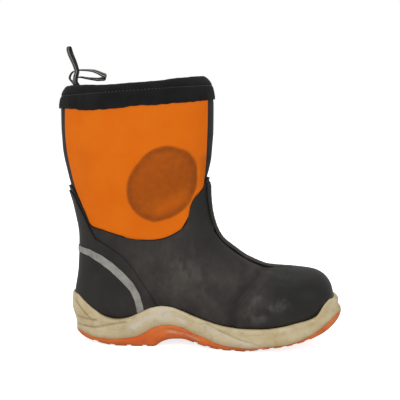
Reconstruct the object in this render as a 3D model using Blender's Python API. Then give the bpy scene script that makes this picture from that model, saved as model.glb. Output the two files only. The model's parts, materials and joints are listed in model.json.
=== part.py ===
"""A rubber work boot for the right foot, with a neoprene shaft.

The boot stands on its outsole. Its toe points along +X, the outer side of the foot along -Y and
the shaft along +Z. One last surface carries every layer: the rubber foot, the sleeve inside it,
the panels, the counter and the binding are offsets of it, cut by outlines seen from the side.
Tables hold their lengths as shares of the named sizes, with a row for each section.
"""

import math

import bmesh
import bpy
import numpy as np

# Sizes of the boot, in metres
SOLE_LENGTH = 0.3075
BALL_WIDTH = 0.110
HEEL_WIDTH = 0.077
SOLE_HEIGHT = 0.056
INSTEP_HEIGHT = 0.115
SHAFT_HEIGHT = 0.299
SHAFT_DEPTH = 0.178
SHAFT_WIDTH = 0.098
CLEARANCE = 0.0003

# Walls and small parts
RUBBER_WALL = 0.0026
SLEEVE_WALL = 0.0045
PANEL_WALL = 0.0010
COUNTER_WALL = 0.0014
STRIPE_WALL = 0.0006
RIDGE_RISE = 0.0018
RIDGE_WIDTH = 0.014
BINDING_WALL = 0.0020
MARGIN_WIDTH = 0.013
INSOLE_WALL = 0.0045
EDGE_INSET = 0.0075
CORE_INSET = 0.012
RIB_GROOVE_DEPTH = 0.0011
LIP_RISE = 0.0009
GROOVE_WIDTH = 0.0055
GROOVE_DEPTH = 0.0030
EDGE_NOTCH_DEPTH = 0.0011
LOOP_WIDTH = 0.0085
LOOP_WALL = 0.0014
LOOP_TAB_BOW = 0.0008
TALL_LOOP_LENGTH = 0.047
SLACK_LOOP_LENGTH = 0.034

# Where the shaft's axis stands, as a share of the sole's length from the heel
SHAFT_AXIS = 0.247

# Bounds of the cutters, clear of the boot
UNDER_BOOT = -0.4 * SOLE_HEIGHT
OVER_BOOT = 1.3 * SHAFT_HEIGHT
PAST_ENDS = 0.1 * SOLE_LENGTH

# How finely the surfaces are divided
AROUND = 24

# The sole's edges: heights as shares of SOLE_HEIGHT at shares of SOLE_LENGTH from the heel
SOLE_COLUMNS = ("along", "foxing", "seat", "joint", "tread")
SOLE_ROWS = (
    (0.000, 1.000, 0.464, 0.250, 0.188),
    (0.030, 0.990, 0.446, 0.240, 0.150),
    (0.060, 0.884, 0.429, 0.210, 0.105),
    (0.100, 0.723, 0.411, 0.165, 0.062),
    (0.140, 0.580, 0.402, 0.148, 0.025),
    (0.180, 0.532, 0.402, 0.157, 0.000),
    (0.220, 0.568, 0.411, 0.175, 0.000),
    (0.260, 0.666, 0.446, 0.223, 0.000),
    (0.290, 0.750, 0.473, 0.312, 0.000),
    (0.315, 0.800, 0.500, 0.393, 0.000),
    (0.350, 0.825, 0.536, 0.443, 0.110),
    (0.380, 0.812, 0.539, 0.457, 0.148),
    (0.420, 0.743, 0.509, 0.421, 0.160),
    (0.460, 0.652, 0.446, 0.321, 0.107),
    (0.500, 0.579, 0.366, 0.250, 0.060),
    (0.545, 0.512, 0.295, 0.160, 0.018),
    (0.580, 0.475, 0.261, 0.113, 0.000),
    (0.640, 0.446, 0.230, 0.088, 0.000),
    (0.700, 0.450, 0.229, 0.107, 0.046),
    (0.745, 0.473, 0.250, 0.135, 0.082),
    (0.790, 0.514, 0.293, 0.160, 0.115),
    (0.830, 0.568, 0.354, 0.212, 0.158),
    (0.870, 0.611, 0.429, 0.300, 0.214),
    (0.900, 0.675, 0.505, 0.380, 0.272),
    (0.930, 0.893, 0.598, 0.486, 0.336),
    (0.955, 0.991, 0.696, 0.580, 0.412),
    (0.975, 0.991, 0.795, 0.654, 0.482),
    (1.000, 0.991, 0.857, 0.689, 0.582),
)

# The sole's plan: half widths as shares of the width of the foot at that place
PLAN_COLUMNS = ("along", "lateral", "medial")
PLAN_ROWS = (
    (0.00, 0.000, 0.000),
    (0.02, 0.250, 0.250),
    (0.05, 0.360, 0.360),
    (0.10, 0.445, 0.445),
    (0.18, 0.491, 0.488),
    (0.28, 0.500, 0.494),
    (0.38, 0.470, 0.437),
    (0.48, 0.445, 0.384),
    (0.58, 0.448, 0.392),
    (0.66, 0.482, 0.461),
    (0.74, 0.494, 0.504),
    (0.82, 0.464, 0.494),
    (0.89, 0.395, 0.446),
    (0.94, 0.305, 0.377),
    (0.975, 0.190, 0.275),
    (1.00, -0.055, 0.055),
)

# Where the sole's rings have points, as shares of SOLE_LENGTH. The tread is flat between some of
# them, so that the boot stands on real faces at the heel and at the ball.
OUTLINE_PLACES = (0.000, 0.008, 0.030, 0.067, 0.115, 0.180, 0.250, 0.315, 0.352, 0.420,
                  0.500, 0.580, 0.632, 0.715, 0.800, 0.870, 0.925, 0.966, 0.992, 1.000)
OUTLINE_STEPS = len(OUTLINE_PLACES) - 1
WAIST_START = 0.30
WAIST_END = 0.60

# The last from the toe to the vamp. Upright sections: "top" is the share of the way from the seat
# to the instep's height, "fullness" the share of the sole's half width, "widest" the share of
# the way from the seat to the top, and the last two columns are the roundness of the section
# below and above its widest place.
FOOT_COLUMNS = ("top_along", "top", "seat_along", "fullness", "widest", "low_round", "top_round")
FOOT_ROWS = (
    (0.9714, 0.118, 0.9714, 0.25, 0.5, 2.0, 2.0),
    (0.9636, 0.308, 0.9636, 0.66, 0.46, 2.2, 2.0),
    (0.9434, 0.488, 0.9434, 0.83, 0.42, 2.5, 2.1),
    (0.8979, 0.630, 0.8979, 0.91, 0.38, 2.8, 2.2),
    (0.8231, 0.693, 0.8231, 0.932, 0.36, 3.0, 2.3),
    (0.7385, 0.722, 0.7385, 0.936, 0.34, 3.0, 2.3),
    (0.6605, 0.805, 0.6475, 0.934, 0.32, 3.0, 2.2),
)

# The last around the ankle. Each section leans back from the bend of the instep, whose place is
# a share of SHAFT_DEPTH ahead of the shaft's axis, to the seat or, with a level, up the heel.
ANKLE_COLUMNS = ("bend", "bend_level", "heel_along", "heel_level", "fullness", "widest",
                 "low_round", "top_round")
ANKLE_ROWS = (
    (0.612, 0.934, 0.5434, 0.000, 0.925, 0.30, 3.0, 2.2),
    (0.538, 1.018, 0.4263, 0.000, 0.920, 0.30, 3.0, 2.2),
    (0.492, 1.100, 0.2963, 0.000, 0.910, 0.28, 3.0, 2.2),
    (0.466, 1.205, 0.1662, 0.000, 0.908, 0.26, 3.0, 2.1),
    (0.458, 1.299, 0.0540, 0.000, 0.900, 0.28, 2.9, 2.0),
    (0.457, 1.366, 0.0120, 0.400, 0.890, 0.35, 2.3, 2.0),
    (0.473, 1.440, 0.0290, 0.730, 0.890, 0.42, 2.1, 2.0),
    (0.486, 1.507, 0.0330, 1.016, 0.970, 0.47, 2.0, 2.0),
)

# The shaft. Fore and aft ends are shares of SHAFT_DEPTH from the shaft's axis, widths are
# shares of SHAFT_WIDTH. The last three rows are the binding's lower edge, its band line and top.
SHAFT_COLUMNS = ("fore", "fore_level", "aft", "aft_level", "width")
SHAFT_ROWS = (
    (0.492, 1.576, -0.401, 1.207, 0.890),
    (0.499, 1.668, -0.456, 1.391, 0.960),
    (0.500, 1.760, -0.493, 1.576, 0.990),
    (0.500, 1.828, -0.499, 1.723, 1.000),
    (0.496, 1.875, -0.499, 1.808, 1.000),
    (0.479, 1.950, -0.485, 1.884, 0.970),
    (0.430, 2.016, -0.452, 1.954, 0.900),
)
TOE_END = 4
FOOT_END = len(FOOT_ROWS)
HEEL_CORNER = FOOT_END + 4
SHAFT_START = FOOT_END + len(ANKLE_ROWS)
RUBBER_END = SHAFT_START + 2
BINDING_START = SHAFT_START + 4
BINDING_LINE = SHAFT_START + 5
BINDING_TOP = SHAFT_START + 6
SLEEVE_SHY = 0.30
TALL_LOOP_TURN = 0.40
SLACK_LOOP_TURN = -0.15
RIDGE_START = 4.1
RIDGE_END = 12.0
RIDGE_FADE = 0.15
OVERLAY_FACE = -RUBBER_WALL
SLEEVE_INNER_FACE = OVERLAY_FACE - 2 * CLEARANCE - SLEEVE_WALL
BINDING_INNER_FACE = SLEEVE_INNER_FACE - 0.8 * BINDING_WALL

# Lines of the shaft seen from the side: a share of SHAFT_DEPTH ahead of the shaft's axis, and a
# level. First the rubber's upper rim, from the heel to the peak at the front.
RIM_ROWS = (
    (-0.530, 1.338),
    (-0.427, 1.338),
    (-0.399, 1.318),
    (-0.365, 1.255),
    (-0.325, 1.190),
    (-0.282, 1.098),
    (-0.206, 1.079),
    (-0.088, 1.047),
    (-0.012, 1.031),
    (0.098, 1.020),
    (0.174, 1.027),
    (0.249, 1.057),
    (0.306, 1.098),
    (0.332, 1.145),
    (0.349, 1.226),
    (0.380, 1.280),
    (0.423, 1.322),
    (0.441, 1.360),
    (0.458, 1.390),
    (0.541, 1.392),
)

# Fore and aft edges of the panels, between the black strips
PANEL_AFT_ROWS = (
    (-0.437, 1.900),
    (-0.444, 1.680),
    (-0.435, 1.558),
    (-0.420, 1.468),
    (-0.399, 1.377),
    (-0.380, 1.315),
    (-0.352, 1.250),
    (-0.254, 1.000),
)
PANEL_FORE_ROWS = (
    (0.385, 1.000),
    (0.432, 1.335),
    (0.446, 1.461),
    (0.456, 1.600),
    (0.461, 1.738),
    (0.461, 1.900),
)

# The sleeve's lower edge, hidden inside the rubber
SLEEVE_FOOT_ROWS = (
    (-0.530, 0.700),
    (-0.254, 0.740),
    (0.092, 0.790),
    (0.333, 0.860),
    (0.713, 0.980),
)

# Lines of the heel seen from the side: a share of SOLE_LENGTH from the heel, and a level. First
# the counter's seam, from the back of the ankle down to the foxing.
COUNTER_ROWS = (
    (-0.060, 1.306),
    (0.000, 1.306),
    (0.015, 1.290),
    (0.035, 1.224),
    (0.057, 1.160),
    (0.080, 1.080),
    (0.101, 1.023),
    (0.138, 0.990),
    (0.164, 0.950),
    (0.195, 0.895),
    (0.228, 0.812),
    (0.255, 0.712),
    (0.282, 0.604),
    (0.309, 0.496),
    (0.335, 0.360),
)

# The reflective stripe's edges, from the back of the heel to the foxing
STRIPE_TOP_ROWS = (
    (-0.050, 0.957),
    (0.037, 0.948),
    (0.081, 0.932),
    (0.128, 0.885),
    (0.166, 0.826),
    (0.207, 0.730),
    (0.245, 0.622),
    (0.268, 0.515),
    (0.280, 0.400),
    (0.284, 0.300),
)
STRIPE_LOW_ROWS = (
    (-0.050, 0.897),
    (0.037, 0.890),
    (0.078, 0.868),
    (0.122, 0.810),
    (0.160, 0.743),
    (0.200, 0.642),
    (0.233, 0.549),
    (0.249, 0.459),
    (0.256, 0.369),
    (0.259, 0.280),
)

# The sole's side: how far each edge stands in from the plan, as shares of EDGE_INSET. "tuck" is
# how far the foxing's lower half draws in besides.
SIDE_COLUMNS = ("along", "top", "waist", "joint", "tread", "tuck")
SIDE_ROWS = (
    (0.00, 0.11, 0.00, 0.60, 0.93, 0.55),
    (0.04, 0.13, 0.00, 0.55, 0.80, 0.48),
    (0.10, 0.21, 0.00, 0.25, 0.50, 0.12),
    (0.18, 0.40, 0.00, 0.10, 0.40, 0.00),
    (0.30, 0.27, 0.00, 0.10, 0.40, 0.00),
    (0.40, 0.17, 0.00, 0.10, 0.40, 0.00),
    (0.50, 0.34, 0.00, 0.10, 0.40, 0.00),
    (0.60, 0.26, 0.00, 0.10, 0.40, 0.00),
    (0.85, 0.40, 0.00, 0.10, 0.40, 0.00),
    (0.93, 0.38, 0.18, 0.05, 0.30, 0.00),
    (0.955, 0.50, 0.34, 0.03, 0.26, 0.00),
    (0.97, 0.64, 0.45, 0.03, 0.25, 0.00),
    (1.00, 0.78, 0.52, 0.03, 0.20, 0.00),
)

# Ribs in the foxing's side: heights of two lines as shares of the foxing's height
RIB_COLUMNS = ("along", "low", "high", "groove", "lip")
RIB_ROWS = (
    (0.00, 0.10, 0.62, 1.0, 0.0),
    (0.03, 0.12, 0.62, 1.0, 0.0),
    (0.06, 0.22, 0.58, 1.0, 0.0),
    (0.09, 0.33, 0.60, 1.0, 0.0),
    (0.12, 0.45, 0.70, 0.7, 0.0),
    (0.17, 0.62, 0.80, 0.3, 0.0),
    (0.22, 0.66, 0.82, 0.0, 0.0),
    (0.46, 0.60, 0.82, 0.0, 0.0),
    (0.51, 0.50, 0.74, 0.0, 0.6),
    (0.56, 0.36, 0.60, 0.0, 1.0),
    (0.61, 0.22, 0.42, 0.0, 1.0),
    (0.66, 0.14, 0.26, 0.0, 0.8),
    (0.71, 0.12, 0.22, 0.0, 0.0),
    (1.00, 0.12, 0.22, 0.0, 0.0),
)

# Tread grooves across the sole: place along it, and how far the arms sweep back, in degrees
GROOVE_ROWS = (
    (0.075, -16.0),
    (0.135, -16.0),
    (0.195, -16.0),
    (0.252, -16.0),
    (0.500, 14.0),
    (0.548, 14.0),
    (0.596, 14.0),
    (0.642, 14.0),
    (0.690, 12.0),
    (0.737, 12.0),
    (0.778, 12.0),
    (0.816, 10.0),
    (0.852, 10.0),
    (0.888, 8.0),
)

# Pull loops: where the middle of the two strands runs from the tab's upper end to the tip, and
# how far the strands stand apart, as shares of the loop's length. "azimuth" turns the webbing's
# width from +X towards +Y and "tilt" raises it, in degrees.
LOOP_COLUMNS = ("fore", "side", "up", "open", "azimuth", "tilt")
TALL_LOOP_ROWS = (
    (0.034, 0.002, 0.085, 0.040, -50.0, 0.0),
    (-0.010, -0.019, 0.191, 0.042, -52.0, 0.0),
    (0.005, -0.023, 0.298, 0.042, -55.0, 0.0),
    (0.037, -0.028, 0.426, 0.040, -55.0, 0.0),
    (0.017, -0.028, 0.511, 0.041, -55.0, 0.0),
    (-0.010, -0.028, 0.596, 0.047, -55.0, 0.0),
    (-0.053, -0.028, 0.702, 0.055, -55.0, 0.0),
    (-0.098, -0.028, 0.809, 0.060, -55.0, 0.0),
    (-0.132, -0.028, 0.915, 0.060, -55.0, 0.0),
    (-0.140, -0.028, 0.966, 0.051, -55.0, 0.0),
    (-0.142, -0.028, 0.991, 0.032, -55.0, 0.0),
    (-0.142, -0.028, 1.000, 0.000, -55.0, 0.0),
)
SLACK_LOOP_ROWS = (
    (0.056, 0.000, 0.110, 0.052, -104.0, 0.0),
    (-0.022, 0.000, 0.270, 0.090, -97.0, 0.0),
    (-0.091, 0.000, 0.412, 0.176, -90.0, 0.0),
    (-0.015, 0.000, 0.524, 0.206, -90.0, -3.0),
    (0.182, -0.009, 0.559, 0.235, -90.0, -8.0),
    (0.388, -0.018, 0.541, 0.265, -90.0, -12.0),
    (0.594, -0.026, 0.518, 0.279, -90.0, -18.0),
    (0.785, -0.032, 0.479, 0.244, -90.0, -26.0),
    (0.920, -0.035, 0.456, 0.165, -90.0, -32.0),
    (0.991, -0.035, 0.447, 0.135, -90.0, -34.0),
    (1.023, -0.035, 0.444, 0.094, -90.0, -34.0),
    (1.038, -0.035, 0.441, 0.000, -90.0, -34.0),
)


def columns(names, rows):
    """Turn a table into named arrays, one for each column."""
    values = np.array(rows, dtype=float)
    return {name: values[:, place] for place, name in enumerate(names)}


def smooth(places, values, at):
    """Read a smooth curve through the values that never swings past them."""
    places = np.asarray(places, dtype=float)
    values = np.asarray(values, dtype=float)
    at = np.clip(np.asarray(at, dtype=float), places[0], places[-1])
    step = np.diff(places)
    slope = np.diff(values) / step
    tangent = np.zeros_like(values)
    tangent[0] = slope[0]
    tangent[-1] = slope[-1]
    rising = slope[:-1] * slope[1:] > 0
    near = 2 * step[1:] + step[:-1]
    far = step[1:] + 2 * step[:-1]
    safe_low = np.where(rising, slope[:-1], 1.0)
    safe_high = np.where(rising, slope[1:], 1.0)
    tangent[1:-1] = np.where(rising, (near + far) / (near / safe_low + far / safe_high), 0.0)
    cell = np.clip(np.searchsorted(places, at, side="right") - 1, 0, len(places) - 2)
    width = step[cell]
    share = (at - places[cell]) / width
    start = values[cell]
    end = values[cell + 1]
    rise = end - start
    leave = tangent[cell] * width
    arrive = tangent[cell + 1] * width
    curve = (leave + arrive - 2 * rise) * share ** 3 + (3 * rise - 2 * leave - arrive) * share ** 2
    return start + leave * share + curve


def along(share):
    """Place along the boot of a share of the sole's length from the heel."""
    return np.asarray(share) * SOLE_LENGTH


def level(share):
    """Height of a share: up to 1 it climbs to the instep, and from 1 to 2 to the shaft's top."""
    share = np.asarray(share, dtype=float)
    foot = np.minimum(share, 1.0) * INSTEP_HEIGHT
    return foot + np.maximum(share - 1.0, 0.0) * (SHAFT_HEIGHT - INSTEP_HEIGHT)


SOLE = columns(SOLE_COLUMNS, SOLE_ROWS)
PLAN = columns(PLAN_COLUMNS, PLAN_ROWS)
SIDE = columns(SIDE_COLUMNS, SIDE_ROWS)
RIBS = columns(RIB_COLUMNS, RIB_ROWS)


def sole_height(edge, x):
    """Height of one of the sole's edges at a place along the boot."""
    return smooth(SOLE["along"], SOLE[edge], np.asarray(x) / SOLE_LENGTH) * SOLE_HEIGHT


def foot_width(share):
    """Width that the plan's shares follow: the heel's, then the ball's past the waist."""
    blend = np.clip((share - WAIST_START) / (WAIST_END - WAIST_START), 0.0, 1.0)
    blend = blend * blend * (3.0 - 2.0 * blend)
    return HEEL_WIDTH + (BALL_WIDTH - HEEL_WIDTH) * blend


def plan_half(side, x):
    """Half width of the sole on one side at a place along the boot."""
    share = np.clip(np.asarray(x, dtype=float) / SOLE_LENGTH, 0.0, 1.0)
    turn = np.arccos(1.0 - 2.0 * share)
    turns = np.arccos(1.0 - 2.0 * PLAN["along"])
    return smooth(turns, PLAN[side], turn) * foot_width(share)


def last_sections():
    """Ends, width, middle and roundness of each section of the last, from toe to shaft top."""
    foot = columns(FOOT_COLUMNS, FOOT_ROWS)
    ankle = columns(ANKLE_COLUMNS, ANKLE_ROWS)
    shaft = columns(SHAFT_COLUMNS, SHAFT_ROWS)
    axis = along(SHAFT_AXIS)
    front_x = [along(foot["top_along"]), axis + ankle["bend"] * SHAFT_DEPTH,
               axis + shaft["fore"] * SHAFT_DEPTH]
    foot_seat = sole_height("seat", along(foot["seat_along"]))
    foot_top = foot_seat + (INSTEP_HEIGHT - foot_seat) * foot["top"]
    front_z = [foot_top, level(ankle["bend_level"]), level(shaft["fore_level"])]
    heel_seat = sole_height("seat", along(ankle["heel_along"]))
    heel_z = np.where(ankle["heel_level"] > 0.0, level(ankle["heel_level"]), heel_seat)
    back_x = [along(foot["seat_along"]), along(ankle["heel_along"]),
              axis + shaft["aft"] * SHAFT_DEPTH]
    back_z = [foot_seat, heel_z, level(shaft["aft_level"])]
    front_x = np.concatenate(front_x)
    front_z = np.concatenate(front_z)
    back_x = np.concatenate(back_x)
    back_z = np.concatenate(back_z)
    oval = np.ones(len(SHAFT_ROWS))
    widest = np.concatenate([foot["widest"], ankle["widest"], oval * 0.5])
    low_round = np.concatenate([foot["low_round"], ankle["low_round"], oval * 2.0])
    top_round = np.concatenate([foot["top_round"], ankle["top_round"], oval * 2.0])
    place = back_x + (front_x - back_x) * widest
    lateral = plan_half("lateral", place)
    medial = plan_half("medial", place)
    fullness = np.concatenate([foot["fullness"], ankle["fullness"]])
    half = (lateral + medial) / 2.0
    half[:SHAFT_START] *= fullness
    half[SHAFT_START:] = shaft["width"] * SHAFT_WIDTH / 2.0
    middle = (medial - lateral) / 2.0
    middle[SHAFT_START - 2:] = 0.0
    return {"front_x": front_x, "front_z": front_z, "back_x": back_x, "back_z": back_z,
            "half": half, "middle": middle, "widest": widest,
            "low_round": low_round, "top_round": top_round}


LAST = last_sections()
LAST_PLACES = np.arange(len(LAST["half"]))


def last_points(section, turn):
    """Points of the last at a section and a turn round it: 0 at the back, pi at the front."""
    read = {name: smooth(LAST_PLACES, values, section) for name, values in LAST.items()}
    on_seat = np.asarray(section) <= HEEL_CORNER
    read["back_z"] = np.where(on_seat, sole_height("seat", read["back_x"]), read["back_z"])
    cosine = np.cos(turn)
    sine = np.sin(turn)
    roundness = np.where(cosine > 0.0, read["low_round"], read["top_round"])
    reach = np.abs(cosine) ** (2.0 / roundness)
    below = read["widest"] * (1.0 - reach)
    above = read["widest"] + (1.0 - read["widest"]) * reach
    share = np.where(cosine > 0.0, below, above)
    side = -np.sign(sine) * np.abs(sine) ** (2.0 / roundness)
    x = read["back_x"] + (read["front_x"] - read["back_x"]) * share
    z = read["back_z"] + (read["front_z"] - read["back_z"]) * share
    y = read["middle"] + side * read["half"]
    return np.stack([x, y, z], axis=-1)


def last_offset(section, turn, offset):
    """Points at a distance outside the last, along its normals."""
    section, turn = np.broadcast_arrays(np.asarray(section, float), np.asarray(turn, float))
    nudge = 0.02
    lower = np.maximum(section - nudge, 0.0)
    upper = np.minimum(section + nudge, LAST_PLACES[-1])
    along_section = last_points(upper, turn) - last_points(lower, turn)
    around = last_points(section, turn + nudge) - last_points(section, turn - nudge)
    normal = np.cross(around, along_section)
    normal /= np.linalg.norm(normal, axis=-1, keepdims=True)
    return last_points(section, turn) + normal * np.asarray(offset)[..., None]


def new_object(name, mesh_data, collection):
    """Make a mesh from bmesh data, split alike on layers that lie on one another."""
    bmesh.ops.recalc_face_normals(mesh_data, faces=mesh_data.faces)
    bmesh.ops.triangulate(mesh_data, faces=mesh_data.faces, quad_method="SHORT_EDGE")
    mesh = bpy.data.meshes.new(name)
    mesh_data.to_mesh(mesh)
    mesh_data.free()
    made = bpy.data.objects.new(name, mesh)
    collection.objects.link(made)
    return made


def loft(name, rings, collection, joined=False):
    """Skin a row of closed rings, then cap its ends or join the last ring to the first."""
    data = bmesh.new()
    loops = [[data.verts.new(point) for point in ring] for ring in rings]
    count = len(loops[0])
    pairs = list(zip(loops[:-1], loops[1:]))
    if joined:
        pairs.append((loops[-1], loops[0]))
    else:
        data.faces.new(loops[0])
        data.faces.new(loops[-1])
    for low, high in pairs:
        for place in range(count):
            after = (place + 1) % count
            data.faces.new((low[place], low[after], high[after], high[place]))
    return new_object(name, data, collection)


def prism(name, outline, collection, low=-BALL_WIDTH, high=BALL_WIDTH):
    """A closed outline in the side view, drawn out across the boot."""
    data = bmesh.new()
    corners = [data.verts.new((x, low, z)) for x, z in outline]
    face = data.faces.new(corners)
    drawn = bmesh.ops.extrude_face_region(data, geom=[face])
    moved = [item for item in drawn["geom"] if isinstance(item, bmesh.types.BMVert)]
    bmesh.ops.translate(data, verts=moved, vec=(0.0, high - low, 0.0))
    return new_object(name, data, collection)


def cut(target, cutter, operation="DIFFERENCE"):
    """Leave an exact Boolean with a cutter on an object."""
    modifier = target.modifiers.new(cutter.name, "BOOLEAN")
    modifier.operation = operation
    modifier.solver = "EXACT"
    modifier.object = cutter


def section_rings(start, end):
    """Sections of the last between two places, closer together round the toe and the ankle."""
    toe = np.arange(0.5, TOE_END, 1.0)
    ankle = np.arange(FOOT_END + 1.5, SHAFT_START - 1, 1.0)
    places = np.sort(np.concatenate([LAST_PLACES, toe, ankle]))
    inside = places[(places > start + 0.1) & (places < end - 0.1)]
    return np.concatenate([[start], inside, [end]])


def rings_at(sections, offset):
    """Rings of the last's surface at a distance outside it."""
    turns = np.linspace(0.0, 2.0 * math.pi, AROUND, endpoint=False)
    return [last_offset(section, turns, offset) for section in sections]


def last_solid(name, offset, end, collection):
    """The last made a filled form, larger or smaller by an offset."""
    return loft(name, rings_at(section_rings(0.0, end), offset), collection)


def shell(name, start, end, outer, inner, collection):
    """A tube of the last's form between two sections and two offsets."""
    sections = section_rings(start, end)
    rings = rings_at(sections, outer) + rings_at(sections[::-1], inner)
    return loft(name, rings, collection, joined=True)


def heel_line(rows):
    """Points in the side view of a table of places along the boot and levels."""
    return [(float(along(place)), float(level(height))) for place, height in rows]


def shaft_line(rows):
    """Points in the side view of a table of places ahead of the shaft's axis and levels."""
    axis = float(along(SHAFT_AXIS))
    return [(axis + place * SHAFT_DEPTH, float(level(height))) for place, height in rows]


def raised(line, distance):
    """A line of the side view moved square to itself, to its left as it runs."""
    points = np.array(line)
    run = np.gradient(points, axis=0)
    run /= np.linalg.norm(run, axis=1, keepdims=True)
    left = np.stack([-run[:, 1], run[:, 0]], axis=1)
    return [tuple(point) for point in points + left * distance]


def plan_ring(inset):
    """The sole's outline seen from above, moved in by a distance."""
    x = along(np.array(OUTLINE_PLACES))
    outer = np.stack([x, -plan_half("lateral", x)], axis=1)
    inner = np.stack([x, plan_half("medial", x)], axis=1)
    ring = np.concatenate([outer, inner[-2:0:-1]])
    run = np.roll(ring, -1, axis=0) - np.roll(ring, 1, axis=0)
    run /= np.linalg.norm(run, axis=1, keepdims=True)
    inward = np.stack([-run[:, 1], run[:, 0]], axis=1)
    return ring + inward * np.broadcast_to(inset, len(ring))[:, None]


def slab(name, levels, collection):
    """A solid of the sole's plan through rings of points, closed by strips across it."""
    data = bmesh.new()
    loops = [[data.verts.new(point) for point in ring] for ring in levels]
    count = len(loops[0])
    for low, high in zip(loops[:-1], loops[1:]):
        for place in range(count):
            after = (place + 1) % count
            data.faces.new((low[place], low[after], high[after], high[place]))
    for ring in (loops[0], loops[-1]):
        data.faces.new((ring[0], ring[1], ring[-1]))
        for place in range(1, OUTLINE_STEPS - 1):
            data.faces.new((ring[place], ring[place + 1], ring[-place - 1], ring[-place]))
        data.faces.new((ring[OUTLINE_STEPS - 1], ring[OUTLINE_STEPS], ring[OUTLINE_STEPS + 1]))
    return new_object(name, data, collection)


def sole_ring(inset, height):
    """One ring of the sole: its outline moved in, at the height that a function gives."""
    ring = plan_ring(inset)
    return np.column_stack([ring, height(ring[:, 0])])


def side_inset(edge):
    """How far an edge of the sole's side stands in from the plan, all round."""
    spread = plan_ring(0.0)[:, 0] / SOLE_LENGTH
    return smooth(SIDE["along"], SIDE[edge], spread) * EDGE_INSET


def core_rise(x):
    """How far the outsole's core stands up into the midsole."""
    return 0.45 * (sole_height("seat", x) - sole_height("joint", x))


def make_outsole(parts, cutters):
    """The lugged outsole, with a core that fills the midsole's recess."""
    def tread(x):
        return sole_height("tread", x)

    def joint(x):
        return sole_height("joint", x) - CLEARANCE

    def between(share):
        return lambda x: tread(x) + (joint(x) - tread(x)) * share

    joint_in = side_inset("joint")
    tread_in = side_inset("tread")
    levels = [
        sole_ring(tread_in, tread),
        sole_ring(tread_in * 0.4 + joint_in * 0.6, between(0.22)),
        sole_ring(joint_in, between(0.60)),
        sole_ring(joint_in, joint),
        sole_ring(CORE_INSET, joint),
        sole_ring(CORE_INSET + CLEARANCE, joint),
        sole_ring(CORE_INSET + 2 * CLEARANCE, lambda x: joint(x) + core_rise(x)),
    ]
    outsole = slab("outsole", levels, parts)
    for place, (share, sweep) in enumerate(GROOVE_ROWS):
        notch = tread_cutter(f"notch_{place}", share, sweep, GROOVE_WIDTH, EDGE_NOTCH_DEPTH,
                             -CORE_INSET, cutters)
        cut(outsole, notch)
        groove = tread_cutter(f"groove_{place}", share, sweep, GROOVE_WIDTH * 0.8, GROOVE_DEPTH,
                              1.5 * CORE_INSET, cutters)
        cut(outsole, groove)
    return outsole


def tread_cutter(name, share, sweep, width, depth, shortening, cutters):
    """A groove across the tread: two arms that sweep back from the middle of the sole."""
    x = float(along(share))
    lateral = -float(plan_half("lateral", x)) + shortening
    medial = float(plan_half("medial", x)) - shortening
    slope = float(sole_height("tread", x + 0.002) - sole_height("tread", x - 0.002)) / 0.004
    back = -math.tan(math.radians(sweep))
    spine = [(back * abs(y), y) for y in (lateral, 0.0, medial)]
    half = width / 2.0
    plan = [(x_at - half, y) for x_at, y in spine] + [(x_at + half, y) for x_at, y in spine[::-1]]
    data = bmesh.new()
    face = data.faces.new([data.verts.new((x_at, y, 0.0)) for x_at, y in plan])
    drawn = bmesh.ops.extrude_face_region(data, geom=[face])
    moved = [item for item in drawn["geom"] if isinstance(item, bmesh.types.BMVert)]
    bmesh.ops.translate(data, verts=moved, vec=(0.0, 0.0, UNDER_BOOT))
    made = new_object(name, data, cutters)
    made.rotation_euler = (0.0, -math.atan(slope), 0.0)
    made.location = (x, 0.0, float(sole_height("tread", x)) + depth)
    return made


def make_midsole(parts, cutters):
    """The cream cup: its ribbed side, the recess for the core and the bed for the upper."""
    def joint(x):
        return sole_height("joint", x)

    def at_share(share_of):
        def height(x):
            share = share_of(x)
            return joint(x) + (sole_height("foxing", x) - joint(x)) * share
        return height

    def rib(name, shift=0.0):
        return lambda x: smooth(RIBS["along"], RIBS[name], x / SOLE_LENGTH) + shift

    def fixed(share):
        return lambda x: np.full_like(x, share)

    spread = plan_ring(0.0)[:, 0] / SOLE_LENGTH
    groove = smooth(RIBS["along"], RIBS["groove"], spread) * RIB_GROOVE_DEPTH
    lip = smooth(RIBS["along"], RIBS["lip"], spread) * LIP_RISE
    waist = side_inset("waist")
    tuck = side_inset("tuck")
    half_rib = 0.035
    levels = [
        sole_ring(CORE_INSET + 2 * CLEARANCE, lambda x: joint(x) + core_rise(x)),
        sole_ring(CORE_INSET + CLEARANCE, lambda x: joint(x) + core_rise(x)),
        sole_ring(CORE_INSET, joint),
        sole_ring(side_inset("joint"), joint),
        sole_ring(tuck, at_share(fixed(0.06))),
        sole_ring(tuck + groove + 0.6 * waist - lip, at_share(rib("low"))),
        sole_ring(tuck + waist - lip, at_share(rib("low", half_rib))),
        sole_ring(waist - lip, at_share(rib("high", -half_rib))),
        sole_ring(groove + waist, at_share(rib("high"))),
        sole_ring(waist, at_share(rib("high", half_rib))),
        sole_ring(waist + (side_inset("top") - waist) * 0.4, at_share(fixed(0.93))),
        sole_ring(side_inset("top"), at_share(fixed(1.0))),
    ]
    midsole = slab("midsole", levels, parts)
    cut(midsole, last_solid("last_bed", CLEARANCE, SHAFT_START - 1, cutters))
    return midsole


def make_foxing_cutter(cutters):
    """All that lies lower than just above the foxing's top edge."""
    x = plan_ring(0.0)[:OUTLINE_STEPS + 1, 0]
    edge = list(zip(x, sole_height("foxing", x) + CLEARANCE))
    far = SOLE_LENGTH + PAST_ENDS
    edge = [(-PAST_ENDS, edge[0][1])] + edge + [(far, edge[-1][1])]
    outline = edge + [(far, UNDER_BOOT), (-PAST_ENDS, UNDER_BOOT)]
    return prism("below_foxing", outline, cutters)


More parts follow.
